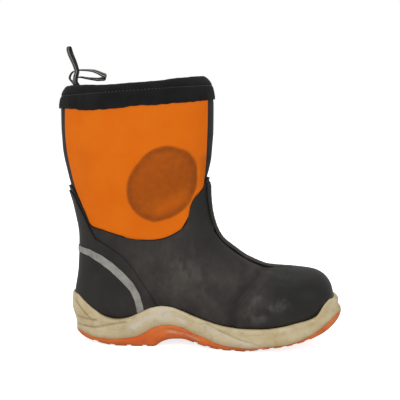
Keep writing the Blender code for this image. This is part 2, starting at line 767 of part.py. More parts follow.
def make_upper(parts, cutters):
    """The rubber foot: one hollow wall, open above its rim and underneath."""
    sections = section_rings(0.0, RUBBER_END)
    rings = rings_at(sections, 0.0) + rings_at(sections[::-1], -RUBBER_WALL)
    upper = loft("upper", rings, parts)
    rim = shaft_line(RIM_ROWS)
    above = rim + [(rim[-1][0], OVER_BOOT), (rim[0][0], OVER_BOOT)]
    cut(upper, prism("above_rim", above, cutters))

    def floor(x):
        return sole_height("seat", x) + 2.5 * RUBBER_WALL

    inset = MARGIN_WIDTH + 0.5 * EDGE_INSET
    opening = [sole_ring(inset, lambda x: np.full_like(x, UNDER_BOOT)), sole_ring(inset, floor)]
    cut(upper, slab("upper_opening", opening, cutters))
    return upper


def make_insole(parts, cutters):
    """The footbed on the upper's turned-in margin."""
    inside = RUBBER_WALL + CLEARANCE
    insole = last_solid("insole", -inside, SHAFT_START - 1, parts)
    top = [(x, z + inside + INSOLE_WALL)
           for x, z in zip(along(SOLE["along"]), SOLE["seat"] * SOLE_HEIGHT)]
    below = [(-PAST_ENDS, top[0][1])] + top + [(SOLE_LENGTH, UNDER_BOOT), (-PAST_ENDS, UNDER_BOOT)]
    cut(insole, prism("under_footbed", below, cutters), "INTERSECT")
    return insole


def make_sleeve(parts, cutters):
    """The neoprene shaft, tucked inside the rubber and under the binding."""
    outer = OVERLAY_FACE - CLEARANCE
    end = BINDING_TOP - SLEEVE_SHY - 0.05
    sleeve = shell("shaft", FOOT_END, end, outer, outer - SLEEVE_WALL, parts)
    foot = shaft_line(SLEEVE_FOOT_ROWS)
    below = foot + [(foot[-1][0], UNDER_BOOT), (foot[0][0], UNDER_BOOT)]
    cut(sleeve, prism("under_sleeve", below, cutters))
    return sleeve


def make_panels(parts, cutters):
    """The two coloured side panels, between the rim, the binding and the black strips."""
    inner = OVERLAY_FACE
    aft = shaft_line(PANEL_AFT_ROWS)
    fore = shaft_line(PANEL_FORE_ROWS)
    rim = raised(shaft_line(RIM_ROWS), 1.5 * CLEARANCE)
    below = prism("below_rim", rim + [(rim[-1][0], 0.0), (rim[0][0], 0.0)], cutters)
    panels = []
    sides = (("side_panel_lateral", -BALL_WIDTH, -SLEEVE_WALL),
             ("side_panel_medial", SLEEVE_WALL, BALL_WIDTH))
    for name, low, high in sides:
        panel = shell(name, FOOT_END, BINDING_START - 0.04, inner + PANEL_WALL, inner, parts)
        cut(panel, prism(name + "_outline", aft + fore, cutters, low, high), "INTERSECT")
        cut(panel, below)
        panels.append(panel)
    return panels


def make_counter(parts, cutters, foxing_cutter):
    """The counter over the rubber's heel, down to the foxing."""
    seam = heel_line(COUNTER_ROWS)
    outline = seam + [(seam[-1][0], UNDER_BOOT), (seam[0][0], UNDER_BOOT)]
    counter = shell("heel_counter", FOOT_END - 1, RUBBER_END, CLEARANCE + COUNTER_WALL, CLEARANCE,
                    parts)
    cut(counter, prism("counter_outline", outline, cutters), "INTERSECT")
    cut(counter, foxing_cutter)
    return counter


def make_stripe(parts, cutters, foxing_cutter):
    """The reflective stripe round the heel, on the counter."""
    inner = 2 * CLEARANCE + COUNTER_WALL
    outline = heel_line(STRIPE_TOP_ROWS) + heel_line(STRIPE_LOW_ROWS)[::-1]
    stripe = shell("heel_stripe", FOOT_END - 1, SHAFT_START, inner + STRIPE_WALL, inner, parts)
    cut(stripe, prism("stripe_outline", outline, cutters), "INTERSECT")
    cut(stripe, foxing_cutter)
    return stripe


def make_ridge(parts):
    """The raised strip down the middle of the instep and vamp."""
    column = 2.0 * math.pi / AROUND
    rings = []
    for section in section_rings(RIDGE_START, RIDGE_END):
        half = smooth(LAST_PLACES, LAST["half"], section)
        roundness = smooth(LAST_PLACES, LAST["top_round"], section)
        reach = math.asin((0.5 * RIDGE_WIDTH / half) ** (roundness / 2.0))
        turns = math.pi + min(reach, column) * np.array([-1.0, 0.0, 1.0])
        fade = min(1.0, RIDGE_FADE + (section - RIDGE_START) / 2.0)
        rise = CLEARANCE + RIDGE_RISE * fade * np.array([0.55, 1.0, 0.55])
        low = last_offset(section, turns, np.full(3, CLEARANCE))
        high = last_offset(section, turns[::-1], rise)
        rings.append(np.concatenate([low, high]))
    return loft("instep_ridge", rings, parts)


def make_binding(parts):
    """The padded binding over the shaft's top edge: an outer leg in two bands and a turn-in."""
    face = OVERLAY_FACE
    back = SLEEVE_INNER_FACE
    top = BINDING_TOP
    turn_in = BINDING_LINE
    profile = (
        (BINDING_START, face),
        (BINDING_START, face + 0.7 * BINDING_WALL),
        (BINDING_START + 0.2, face + 1.15 * BINDING_WALL),
        (BINDING_LINE - 0.15, face + 1.1 * BINDING_WALL),
        (BINDING_LINE, face + 0.7 * BINDING_WALL),
        (BINDING_LINE + 0.15, face + 0.9 * BINDING_WALL),
        (top - 0.15, face + 0.7 * BINDING_WALL),
        (top, face - 0.6 * BINDING_WALL),
        (top, back + 0.4 * BINDING_WALL),
        (top - 0.15, BINDING_INNER_FACE),
        (turn_in, BINDING_INNER_FACE),
        (turn_in, back),
        (top - SLEEVE_SHY, back),
        (top - SLEEVE_SHY, face),
        (BINDING_LINE, face),
    )
    turns = np.linspace(0.0, 2.0 * math.pi, AROUND, endpoint=False)
    rings = [last_offset(section, turns, offset) for section, offset in profile]
    return loft("top_binding", rings, parts, joined=True)


def make_loop(name, rows, length, turn, parts):
    """A loop of webbing: two tabs inside the binding, at a turn round it, and two free strands."""
    table = columns(LOOP_COLUMNS, rows)
    azimuth = np.radians(table["azimuth"])
    tilt = np.radians(table["tilt"])
    width = np.stack([np.cos(azimuth) * np.cos(tilt), np.sin(azimuth) * np.cos(tilt),
                      np.sin(tilt)], axis=1)
    face = BINDING_INNER_FACE - CLEARANCE - LOOP_TAB_BOW - LOOP_WALL / 2.0
    tab_sections = np.array([BINDING_LINE + 0.1, BINDING_TOP - 0.15])
    first_tab = last_offset(tab_sections, turn, face)
    second_tab = last_offset(tab_sections, turn, face - LOOP_WALL - CLEARANCE)
    tangent = last_offset(BINDING_TOP, turn + 0.05, face) - last_offset(BINDING_TOP, turn - 0.05, face)
    tangent /= np.linalg.norm(tangent)
    middle = np.stack([table["fore"], table["side"], table["up"]], axis=1) * length
    middle += first_tab[1]
    run = np.gradient(np.concatenate([first_tab, middle]), axis=0)[2:]
    inward = np.cross(run, width)
    inward /= np.linalg.norm(inward, axis=1, keepdims=True)
    half_open = inward * table["open"][:, None] * length / 2.0
    way = np.concatenate([first_tab, middle - half_open, (middle + half_open)[-2::-1],
                          second_tab[::-1]])
    tab_width = np.array([tangent, tangent])
    across = np.concatenate([tab_width, width, width[-2::-1], tab_width])
    runs = np.gradient(way, axis=0)
    runs /= np.linalg.norm(runs, axis=1, keepdims=True)
    across = across - runs * np.sum(runs * across, axis=1, keepdims=True)
    across *= LOOP_WIDTH / 2.0 / np.linalg.norm(across, axis=1, keepdims=True)
    thick = np.cross(runs, across) * LOOP_WALL / LOOP_WIDTH
    rings = np.stack([way - across - thick, way + across - thick, way + across + thick,
                      way - across + thick], axis=1)
    return loft(name, list(rings), parts)


def make_material(name, colour, roughness):
    """A plain surface of one colour."""
    material = bpy.data.materials.new(name)
    material.use_nodes = True
    shader = material.node_tree.nodes["Principled BSDF"]
    shader.inputs["Base Color"].default_value = (*colour, 1.0)
    shader.inputs["Roughness"].default_value = roughness
    shader.inputs["Metallic"].default_value = 0.0
    material.diffuse_color = (*colour, 1.0)
    return material


MATERIALS = {
    "outsole": ("orange_rubber", (0.62, 0.145, 0.025), 0.60),
    "midsole": ("cream_rubber", (0.58, 0.46, 0.25), 0.65),
    "upper": ("black_rubber", (0.034, 0.031, 0.027), 0.55),
    "insole": ("grey_foam", (0.060, 0.060, 0.062), 0.90),
    "shaft": ("black_neoprene", (0.018, 0.017, 0.018), 0.85),
    "side_panel_lateral": ("orange_fabric_lateral", (0.80, 0.18, 0.012), 0.80),
    "side_panel_medial": ("orange_fabric_medial", (0.80, 0.18, 0.012), 0.80),
    "heel_counter": ("counter_rubber", (0.030, 0.027, 0.025), 0.55),
    "heel_stripe": ("reflective_tape", (0.40, 0.38, 0.32), 0.40),
    "instep_ridge": ("ridge_rubber", (0.034, 0.031, 0.027), 0.50),
    "top_binding": ("binding_fabric", (0.016, 0.015, 0.016), 0.85),
    "pull_loop_tall": ("webbing_tall", (0.045, 0.043, 0.042), 0.80),
    "pull_loop_slack": ("webbing_slack", (0.045, 0.043, 0.042), 0.80),
}


def clear_scene():
    """Remove what a new file starts with."""
    for item in list(bpy.data.objects):
        bpy.data.objects.remove(item, do_unlink=True)


def new_collection(name):
    """A collection linked to the scene."""
    made = bpy.data.collections.new(name)
    bpy.context.scene.collection.children.link(made)
    return made


def stand_at_origin(parts, cutters):
    """Carry every piece by an empty that puts the middle of the boot's box over the origin."""
    points = np.array([corner.co for part in parts.objects for corner in part.data.vertices])
    middle = (points.min(axis=0) + points.max(axis=0)) / 2.0
    stand = bpy.data.objects.new("boot_stand", None)
    parts.objects.link(stand)
    stand.location = (-middle[0], -middle[1], 0.0)
    for piece in list(parts.objects) + list(cutters.objects):
        if piece is not stand:
            piece.parent = stand


def main():
    """Make the boot."""
    clear_scene()
    parts = new_collection("rubber_boot")
    cutters = new_collection("cutters")
    foxing_cutter = make_foxing_cutter(cutters)
    make_outsole(parts, cutters)
    make_midsole(parts, cutters)
    make_upper(parts, cutters)
    make_insole(parts, cutters)
    make_sleeve(parts, cutters)
    make_panels(parts, cutters)
    make_counter(parts, cutters, foxing_cutter)
    make_stripe(parts, cutters, foxing_cutter)
    make_ridge(parts)
    make_binding(parts)
    make_loop("pull_loop_tall", TALL_LOOP_ROWS, TALL_LOOP_LENGTH, TALL_LOOP_TURN, parts)
    make_loop("pull_loop_slack", SLACK_LOOP_ROWS, SLACK_LOOP_LENGTH, SLACK_LOOP_TURN, parts)
    for part in parts.objects:
        name, colour, roughness = MATERIALS[part.name]
        part.data.materials.append(make_material(name, colour, roughness))
        part.data.shade_smooth()
    for cutter in cutters.objects:
        cutter.hide_render = True
        cutter.display_type = "WIRE"
    stand_at_origin(parts, cutters)


main()
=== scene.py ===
# %% [markdown]
# # A rubber boot with a neoprene shaft
#
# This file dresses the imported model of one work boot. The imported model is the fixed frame: every
# piece here stands where its solid stands. The boot is a rubber shoe on a cream and orange sole,
# with a soft shaft above it, and all its layers follow one form, the last.

import json
import math

import bmesh
import bpy
import numpy as np
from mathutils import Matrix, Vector

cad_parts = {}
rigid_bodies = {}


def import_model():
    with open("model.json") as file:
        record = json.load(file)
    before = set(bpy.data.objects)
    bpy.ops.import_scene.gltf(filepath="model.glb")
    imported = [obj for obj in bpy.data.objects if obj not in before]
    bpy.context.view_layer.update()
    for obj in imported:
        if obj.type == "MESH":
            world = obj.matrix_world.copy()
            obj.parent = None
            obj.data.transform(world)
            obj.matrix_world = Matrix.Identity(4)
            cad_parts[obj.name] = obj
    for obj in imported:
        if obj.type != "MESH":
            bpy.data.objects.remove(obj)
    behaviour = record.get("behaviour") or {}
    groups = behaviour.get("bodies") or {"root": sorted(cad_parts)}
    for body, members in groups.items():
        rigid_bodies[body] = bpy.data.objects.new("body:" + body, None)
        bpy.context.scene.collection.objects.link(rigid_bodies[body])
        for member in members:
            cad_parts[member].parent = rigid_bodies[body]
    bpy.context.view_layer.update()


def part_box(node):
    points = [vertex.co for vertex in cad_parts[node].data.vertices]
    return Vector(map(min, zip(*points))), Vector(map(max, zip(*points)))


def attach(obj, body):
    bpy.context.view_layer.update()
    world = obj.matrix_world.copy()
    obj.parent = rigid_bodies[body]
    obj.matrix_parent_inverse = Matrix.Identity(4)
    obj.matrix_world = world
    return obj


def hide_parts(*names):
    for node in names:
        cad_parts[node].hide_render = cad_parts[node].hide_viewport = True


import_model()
MM = 0.001

# %% [markdown]
# ## The last
#
# A shoemaker lasts every layer over one wooden form. Here the form is a function: a section
# number, a turn round the section and a distance outside it give a point. The tables hold the
# sections as shares of the boot's sizes, and the frame gives where the boot stands.

# %% Sizes and tables of the last
SOLE_LENGTH = 0.3075
BALL_WIDTH = 0.110
HEEL_WIDTH = 0.077
SOLE_HEIGHT = 0.056
INSTEP_HEIGHT = 0.115
SHAFT_HEIGHT = 0.299
SHAFT_DEPTH = 0.178
SHAFT_WIDTH = 0.098
SHAFT_AXIS = 0.247 * SOLE_LENGTH
RUBBER_WALL = 0.0026
SLEEVE_WALL = 0.0045
CLEARANCE = 0.0003
# The sole's edges: heights as shares of SOLE_HEIGHT at shares of SOLE_LENGTH from the heel
SOLE_COLUMNS = ("along", "foxing", "seat", "joint", "tread")
SOLE_ROWS = (
    (0.000, 1.000, 0.464, 0.250, 0.188),
    (0.030, 0.990, 0.446, 0.240, 0.150),
    (0.060, 0.884, 0.429, 0.210, 0.105),
    (0.100, 0.723, 0.411, 0.165, 0.062),
    (0.140, 0.580, 0.402, 0.148, 0.025),
    (0.180, 0.532, 0.402, 0.157, 0.000),
    (0.220, 0.568, 0.411, 0.175, 0.000),
    (0.260, 0.666, 0.446, 0.223, 0.000),
    (0.290, 0.750, 0.473, 0.312, 0.000),
    (0.315, 0.800, 0.500, 0.393, 0.000),
    (0.350, 0.825, 0.536, 0.443, 0.110),
    (0.380, 0.812, 0.539, 0.457, 0.148),
    (0.420, 0.743, 0.509, 0.421, 0.160),
    (0.460, 0.652, 0.446, 0.321, 0.107),
    (0.500, 0.579, 0.366, 0.250, 0.060),
    (0.545, 0.512, 0.295, 0.160, 0.018),
    (0.580, 0.475, 0.261, 0.113, 0.000),
    (0.640, 0.446, 0.230, 0.088, 0.000),
    (0.700, 0.450, 0.229, 0.107, 0.046),
    (0.745, 0.473, 0.250, 0.135, 0.082),
    (0.790, 0.514, 0.293, 0.160, 0.115),
    (0.830, 0.568, 0.354, 0.212, 0.158),
    (0.870, 0.611, 0.429, 0.300, 0.214),
    (0.900, 0.675, 0.505, 0.380, 0.272),
    (0.930, 0.893, 0.598, 0.486, 0.336),
    (0.955, 0.991, 0.696, 0.580, 0.412),
    (0.975, 0.991, 0.795, 0.654, 0.482),
    (1.000, 0.991, 0.857, 0.689, 0.582),
)

# The sole's plan: half widths as shares of the width of the foot at that place
PLAN_COLUMNS = ("along", "lateral", "medial")
PLAN_ROWS = (
    (0.00, 0.000, 0.000),
    (0.02, 0.250, 0.250),
    (0.05, 0.360, 0.360),
    (0.10, 0.445, 0.445),
    (0.18, 0.491, 0.488),
    (0.28, 0.500, 0.494),
    (0.38, 0.470, 0.437),
    (0.48, 0.445, 0.384),
    (0.58, 0.448, 0.392),
    (0.66, 0.482, 0.461),
    (0.74, 0.494, 0.504),
    (0.82, 0.464, 0.494),
    (0.89, 0.395, 0.446),
    (0.94, 0.305, 0.377),
    (0.975, 0.190, 0.275),
    (1.00, -0.055, 0.055),
)

WAIST_START = 0.30
WAIST_END = 0.60

# The last from the toe to the vamp. Upright sections: "top" is the share of the way from the seat
# to the instep's height, "fullness" the share of the sole's half width, "widest" the share of
# the way from the seat to the top, and the last two columns are the roundness of the section
# below and above its widest place.
FOOT_COLUMNS = ("top_along", "top", "seat_along", "fullness", "widest", "low_round", "top_round")
FOOT_ROWS = (
    (0.9714, 0.118, 0.9714, 0.25, 0.5, 2.0, 2.0),
    (0.9636, 0.308, 0.9636, 0.66, 0.46, 2.2, 2.0),
    (0.9434, 0.488, 0.9434, 0.83, 0.42, 2.5, 2.1),
    (0.8979, 0.630, 0.8979, 0.91, 0.38, 2.8, 2.2),
    (0.8231, 0.693, 0.8231, 0.932, 0.36, 3.0, 2.3),
    (0.7385, 0.722, 0.7385, 0.936, 0.34, 3.0, 2.3),
    (0.6605, 0.805, 0.6475, 0.934, 0.32, 3.0, 2.2),
)

# The last around the ankle. Each section leans back from the bend of the instep, whose place is
# a share of SHAFT_DEPTH ahead of the shaft's axis, to the seat or, with a level, up the heel.
ANKLE_COLUMNS = ("bend", "bend_level", "heel_along", "heel_level", "fullness", "widest",
                 "low_round", "top_round")
ANKLE_ROWS = (
    (0.612, 0.934, 0.5434, 0.000, 0.925, 0.30, 3.0, 2.2),
    (0.538, 1.018, 0.4263, 0.000, 0.920, 0.30, 3.0, 2.2),
    (0.492, 1.100, 0.2963, 0.000, 0.910, 0.28, 3.0, 2.2),
    (0.466, 1.205, 0.1662, 0.000, 0.908, 0.26, 3.0, 2.1),
    (0.458, 1.299, 0.0540, 0.000, 0.900, 0.28, 2.9, 2.0),
    (0.457, 1.366, 0.0120, 0.400, 0.890, 0.35, 2.3, 2.0),
    (0.473, 1.440, 0.0290, 0.730, 0.890, 0.42, 2.1, 2.0),
    (0.486, 1.507, 0.0330, 1.016, 0.970, 0.47, 2.0, 2.0),
)

# The shaft. Fore and aft ends are shares of SHAFT_DEPTH from the shaft's axis, widths are
# shares of SHAFT_WIDTH. The last three rows are the binding's lower edge, its band line and top.
SHAFT_COLUMNS = ("fore", "fore_level", "aft", "aft_level", "width")
SHAFT_ROWS = (
    (0.492, 1.576, -0.401, 1.207, 0.890),
    (0.499, 1.668, -0.456, 1.391, 0.960),
    (0.500, 1.760, -0.493, 1.576, 0.990),
    (0.500, 1.828, -0.499, 1.723, 1.000),
    (0.496, 1.875, -0.499, 1.808, 1.000),
    (0.479, 1.950, -0.485, 1.884, 0.970),
    (0.430, 2.016, -0.452, 1.954, 0.900),
)
FOOT_END = len(FOOT_ROWS)
HEEL_CORNER = FOOT_END + 4
SHAFT_START = FOOT_END + len(ANKLE_ROWS)
BINDING_START = SHAFT_START + 4
BINDING_LINE = SHAFT_START + 5
BINDING_TOP = SHAFT_START + 6
print("sections of the last:", SHAFT_START + len(SHAFT_ROWS))

# %% Reading the tables
def columns(names, rows):
    """Turn a table into named arrays, one for each column."""
    values = np.array(rows, dtype=float)
    return {name: values[:, place] for place, name in enumerate(names)}


def smooth(places, values, at):
    """Read a smooth curve through the values that never swings past them."""
    places = np.asarray(places, dtype=float)
    values = np.asarray(values, dtype=float)
    at = np.clip(np.asarray(at, dtype=float), places[0], places[-1])
    step = np.diff(places)
    slope = np.diff(values) / step
    tangent = np.zeros_like(values)
    tangent[0] = slope[0]
    tangent[-1] = slope[-1]
    rising = slope[:-1] * slope[1:] > 0
    near = 2 * step[1:] + step[:-1]
    far = step[1:] + 2 * step[:-1]
    safe_low = np.where(rising, slope[:-1], 1.0)
    safe_high = np.where(rising, slope[1:], 1.0)
    tangent[1:-1] = np.where(rising, (near + far) / (near / safe_low + far / safe_high), 0.0)
    cell = np.clip(np.searchsorted(places, at, side="right") - 1, 0, len(places) - 2)
    width = step[cell]
    share = (at - places[cell]) / width
    start = values[cell]
    end = values[cell + 1]
    rise = end - start
    leave = tangent[cell] * width
    arrive = tangent[cell + 1] * width
    curve = (leave + arrive - 2 * rise) * share ** 3 + (3 * rise - 2 * leave - arrive) * share ** 2
    return start + leave * share + curve


def level(share):
    """Height of a share: up to 1 it climbs to the instep, and from 1 to 2 to the shaft's top."""
    share = np.asarray(share, dtype=float)
    foot = np.minimum(share, 1.0) * INSTEP_HEIGHT
    return foot + np.maximum(share - 1.0, 0.0) * (SHAFT_HEIGHT - INSTEP_HEIGHT)


SOLE = columns(SOLE_COLUMNS, SOLE_ROWS)
PLAN = columns(PLAN_COLUMNS, PLAN_ROWS)


def sole_height(edge, x):
    """Height of one of the sole's edges at a place along the boot."""
    return smooth(SOLE["along"], SOLE[edge], np.asarray(x) / SOLE_LENGTH) * SOLE_HEIGHT


def foot_width(share):
    """Width that the plan's shares follow: the heel's, then the ball's past the waist."""
    blend = np.clip((share - WAIST_START) / (WAIST_END - WAIST_START), 0.0, 1.0)
    blend = blend * blend * (3.0 - 2.0 * blend)
    return HEEL_WIDTH + (BALL_WIDTH - HEEL_WIDTH) * blend


def plan_half(side, x):
    """Half width of the sole on one side at a place along the boot."""
    share = np.clip(np.asarray(x, dtype=float) / SOLE_LENGTH, 0.0, 1.0)
    turn = np.arccos(1.0 - 2.0 * share)
    turns = np.arccos(1.0 - 2.0 * PLAN["along"])
    return smooth(turns, PLAN[side], turn) * foot_width(share)


def last_sections():
    """Ends, width, middle and roundness of each section of the last, from toe to shaft top."""
    foot = columns(FOOT_COLUMNS, FOOT_ROWS)
    ankle = columns(ANKLE_COLUMNS, ANKLE_ROWS)
    shaft = columns(SHAFT_COLUMNS, SHAFT_ROWS)
    axis = SHAFT_AXIS
    front_x = [SOLE_LENGTH * foot["top_along"], axis + ankle["bend"] * SHAFT_DEPTH,
               axis + shaft["fore"] * SHAFT_DEPTH]
    foot_seat = sole_height("seat", SOLE_LENGTH * foot["seat_along"])
    foot_top = foot_seat + (INSTEP_HEIGHT - foot_seat) * foot["top"]
    front_z = [foot_top, level(ankle["bend_level"]), level(shaft["fore_level"])]
    heel_seat = sole_height("seat", SOLE_LENGTH * ankle["heel_along"])
    heel_z = np.where(ankle["heel_level"] > 0.0, level(ankle["heel_level"]), heel_seat)
    back_x = [SOLE_LENGTH * foot["seat_along"], SOLE_LENGTH * ankle["heel_along"],
              axis + shaft["aft"] * SHAFT_DEPTH]
    back_z = [foot_seat, heel_z, level(shaft["aft_level"])]
    front_x = np.concatenate(front_x)
    front_z = np.concatenate(front_z)
    back_x = np.concatenate(back_x)
    back_z = np.concatenate(back_z)
    oval = np.ones(len(SHAFT_ROWS))
    widest = np.concatenate([foot["widest"], ankle["widest"], oval * 0.5])
    low_round = np.concatenate([foot["low_round"], ankle["low_round"], oval * 2.0])
    top_round = np.concatenate([foot["top_round"], ankle["top_round"], oval * 2.0])
    place = back_x + (front_x - back_x) * widest
    lateral = plan_half("lateral", place)
    medial = plan_half("medial", place)
    fullness = np.concatenate([foot["fullness"], ankle["fullness"]])
    half = (lateral + medial) / 2.0
    half[:SHAFT_START] *= fullness
    half[SHAFT_START:] = shaft["width"] * SHAFT_WIDTH / 2.0
    middle = (medial - lateral) / 2.0
    middle[SHAFT_START - 2:] = 0.0
    return {"front_x": front_x, "front_z": front_z, "back_x": back_x, "back_z": back_z,
            "half": half, "middle": middle, "widest": widest,
            "low_round": low_round, "top_round": top_round}


LAST = last_sections()
LAST_PLACES = np.arange(len(LAST["half"]))


def last_points(section, turn):
    """Points of the last at a section and a turn round it: 0 at the back, pi at the front."""
    read = {name: smooth(LAST_PLACES, values, section) for name, values in LAST.items()}
    on_seat = np.asarray(section) <= HEEL_CORNER
    read["back_z"] = np.where(on_seat, sole_height("seat", read["back_x"]), read["back_z"])
    cosine = np.cos(turn)
    sine = np.sin(turn)
    roundness = np.where(cosine > 0.0, read["low_round"], read["top_round"])
    reach = np.abs(cosine) ** (2.0 / roundness)
    below = read["widest"] * (1.0 - reach)
    above = read["widest"] + (1.0 - read["widest"]) * reach
    share = np.where(cosine > 0.0, below, above)
    side = -np.sign(sine) * np.abs(sine) ** (2.0 / roundness)
    x = read["back_x"] + (read["front_x"] - read["back_x"]) * share
    z = read["back_z"] + (read["front_z"] - read["back_z"]) * share
    y = read["middle"] + side * read["half"]
    return np.stack([x, y, z], axis=-1)


def last_offset(section, turn, offset):
    """Points at a distance outside the last, along its normals."""
    section, turn = np.broadcast_arrays(np.asarray(section, float), np.asarray(turn, float))
    nudge = 0.02
    lower = np.maximum(section - nudge, 0.0)
    upper = np.minimum(section + nudge, LAST_PLACES[-1])
    along_section = last_points(upper, turn) - last_points(lower, turn)
    around = last_points(section, turn + nudge) - last_points(section, turn - nudge)
    normal = np.cross(around, along_section)
    normal /= np.linalg.norm(normal, axis=-1, keepdims=True)
    return last_points(section, turn) + normal * np.asarray(offset)[..., None]


# %% [markdown]
# ## Where the boot stands
#
# The tables count from the rearmost point of the heel and from the middle of the shaft. The frame
# gives both places: the cream sole ends at the heel's rearmost point, and the collar's binding is
# as wide to the left as to the right.

# %% Place in the frame
midsole_low = np.array(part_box("midsole"))[0]
binding_low, binding_high = np.array(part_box("top_binding"))
STAND = np.array([midsole_low[0], (binding_low[1] + binding_high[1]) / 2.0, 0.0])
print("heel at mm:", np.round(STAND / MM, 2))

# %% [markdown]
# ## The camera
#
# The lens height, distance and angle were fitted to the photograph. With the camera known, a
# place in the picture can be carried back onto the boot's outer side, which is how the creases,
# seams and stains below get their places.

# %% Camera
CAMERA_PLACE = np.array([0.0695, -0.9976, 0.2732])
CAMERA_DIP = math.radians(6.41)
CAMERA_YAW = math.radians(4.0)
CAMERA_LENS = 80.1
SENSOR = 36.0
FRAME_PIXELS = 400.0

camera = bpy.data.objects.new("camera", bpy.data.cameras.new("camera"))
camera.location = CAMERA_PLACE
camera.rotation_euler = (math.pi / 2.0 - CAMERA_DIP, 0.0, CAMERA_YAW)
camera.data.lens = CAMERA_LENS
camera.data.sensor_width = SENSOR
bpy.context.scene.collection.objects.link(camera)
bpy.context.scene.camera = camera
bpy.context.scene.view_settings.view_transform = "Standard"


def on_side(column, row, depth):
    """Place (x, z) where the ray through a picture column and row meets the plane y = depth."""
    half = FRAME_PIXELS / 2.0
    scale = SENSOR / CAMERA_LENS / FRAME_PIXELS
    across, up = (column - half) * scale, (half - row) * scale
    forward = math.cos(CAMERA_DIP) + up * math.sin(CAMERA_DIP)
    rise = up * math.cos(CAMERA_DIP) - math.sin(CAMERA_DIP)
    way_x = across * math.cos(CAMERA_YAW) - forward * math.sin(CAMERA_YAW)
    way_y = across * math.sin(CAMERA_YAW) + forward * math.cos(CAMERA_YAW)
    reach = (depth - CAMERA_PLACE[1]) / way_y
    return np.array([CAMERA_PLACE[0] + way_x * reach, CAMERA_PLACE[2] + rise * reach])


def side_line(depth, *pixels):
    """A line on the boot's outer side through places of the picture."""
    return np.array([on_side(column, row, depth) for column, row in pixels])


def line_distance(line, x, z):
    """Distance of places in the side view from a line of points."""
    nearest = np.full(np.shape(x), 1.0)
    for start, end in zip(line[:-1], line[1:]):
        run = end - start
        share = ((x - start[0]) * run[0] + (z - start[1]) * run[1]) / np.dot(run, run)
        share = np.clip(share, 0.0, 1.0)
        gap = np.hypot(x - start[0] - share * run[0], z - start[1] - share * run[1])
        nearest = np.minimum(nearest, gap)
    return nearest


def bell(distance, width):
    """A soft hump that is 1 on a line and fades over a width."""
    return np.exp(-(distance / width) ** 2)


print("picture centre lies at mm:", np.round(on_side(200.0, 200.0, -0.045) / MM, 1))

# %% [markdown]
# ## Sheets on the last
#
# Rubber, cloth and tape are all sheets, so one helper lays a grid of faces on the last. Each
# vertex keeps its section and turn, so a sheet can be cut along a line, creased and offset, and
# still follow the form. A Solidify modifier then gives the real wall, and a narrow Bevel rounds
# the cut edges as scissors and moulds do.

# %% Laying and cutting a sheet
FINE_SECTIONS = np.linspace(0.0, LAST_PLACES[-1], 900)
FINE_TURNS = np.linspace(0.0, math.pi, 420)
ring_points = last_points(FINE_SECTIONS[:, None], np.linspace(0.0, 2 * math.pi, 24)[None, :])
skin_steps = np.linalg.norm(np.diff(ring_points, axis=0), axis=2).mean(axis=1)
SKIN_LENGTH = np.concatenate([[0.0], np.cumsum(skin_steps)])


def skin_section(length):
    """Section of the last at a length along its skin from the toe."""
    return np.interp(length, SKIN_LENGTH, FINE_SECTIONS)


def skin_length(section):
    """Length along the last's skin from the toe to a section."""
    return np.interp(section, FINE_SECTIONS, SKIN_LENGTH)


def first_crossing(values, places):
    """Place along the last axis where values first change sign."""
    change = values[..., :-1] * values[..., 1:] <= 0.0
    at = np.argmax(change, axis=-1)
    before = np.take_along_axis(values, at[..., None], axis=-1)[..., 0]
    after = np.take_along_axis(values, at[..., None] + 1, axis=-1)[..., 0]
    share = before / np.where(before == after, 1.0, before - after)
    return places[at] + (places[at + 1] - places[at]) * np.clip(share, 0.0, 1.0)


def lay_sheet(columns_count, rows_count, place):
    """A grid whose vertices get (section, turn) from a function of two shares from 0 to 1."""
    mesh = bmesh.new()
    bmesh.ops.create_grid(mesh, x_segments=columns_count, y_segments=rows_count, size=1.0)
    section_layer = mesh.verts.layers.float.new("section")
    turn_layer = mesh.verts.layers.float.new("turn")
    shares = (np.array([vert.co for vert in mesh.verts])[:, :2] + 1.0) / 2.0
    sections, turns = place(shares[:, 0], shares[:, 1])
    for vert, section, turn in zip(mesh.verts, sections, turns):
        vert[section_layer] = section
        vert[turn_layer] = turn
    return mesh


def read_sheet(mesh):
    """Sections and turns of a sheet's vertices."""
    section_layer = mesh.verts.layers.float["section"]
    turn_layer = mesh.verts.layers.float["turn"]
    read = np.array([(vert[section_layer], vert[turn_layer]) for vert in mesh.verts])
    return read[:, 0], read[:, 1]


def trim(mesh, offset, value):
    """Cut a sheet along the line where value(points) is 0 and keep the side above it."""
    section_layer = mesh.verts.layers.float["section"]
    turn_layer = mesh.verts.layers.float["turn"]
    mesh.verts.index_update()
    sections, turns = read_sheet(mesh)
    worth = value(last_offset(sections, turns, offset))
    moves = {}
    for edge in mesh.edges:
        first, second = (vert.index for vert in edge.verts)
        if worth[first] * worth[second] < 0.0:
            share = worth[first] / (worth[first] - worth[second])
            mover, other = (first, second) if share < 0.5 else (second, first)
            share = min(share, 1.0 - share)
            if mover not in moves or share < moves[mover][1]:
                moves[mover] = (other, share)
    new_sections, new_turns = sections.copy(), turns.copy()
    for mover, (other, share) in moves.items():
        new_sections[mover] += (sections[other] - sections[mover]) * share
        new_turns[mover] += (turns[other] - turns[mover]) * share
        worth[mover] = 0.0
    mesh.verts.ensure_lookup_table()
    for mover in moves:
        mesh.verts[mover][section_layer] = new_sections[mover]
        mesh.verts[mover][turn_layer] = new_turns[mover]
    bmesh.ops.connect_verts(mesh, verts=[mesh.verts[mover] for mover in moves])
    mesh.verts.index_update()
    lost = [face for face in mesh.faces if sum(worth[vert.index] for vert in face.verts) <= 0.0]
    bmesh.ops.delete(mesh, geom=lost, context="FACES")
    return mesh


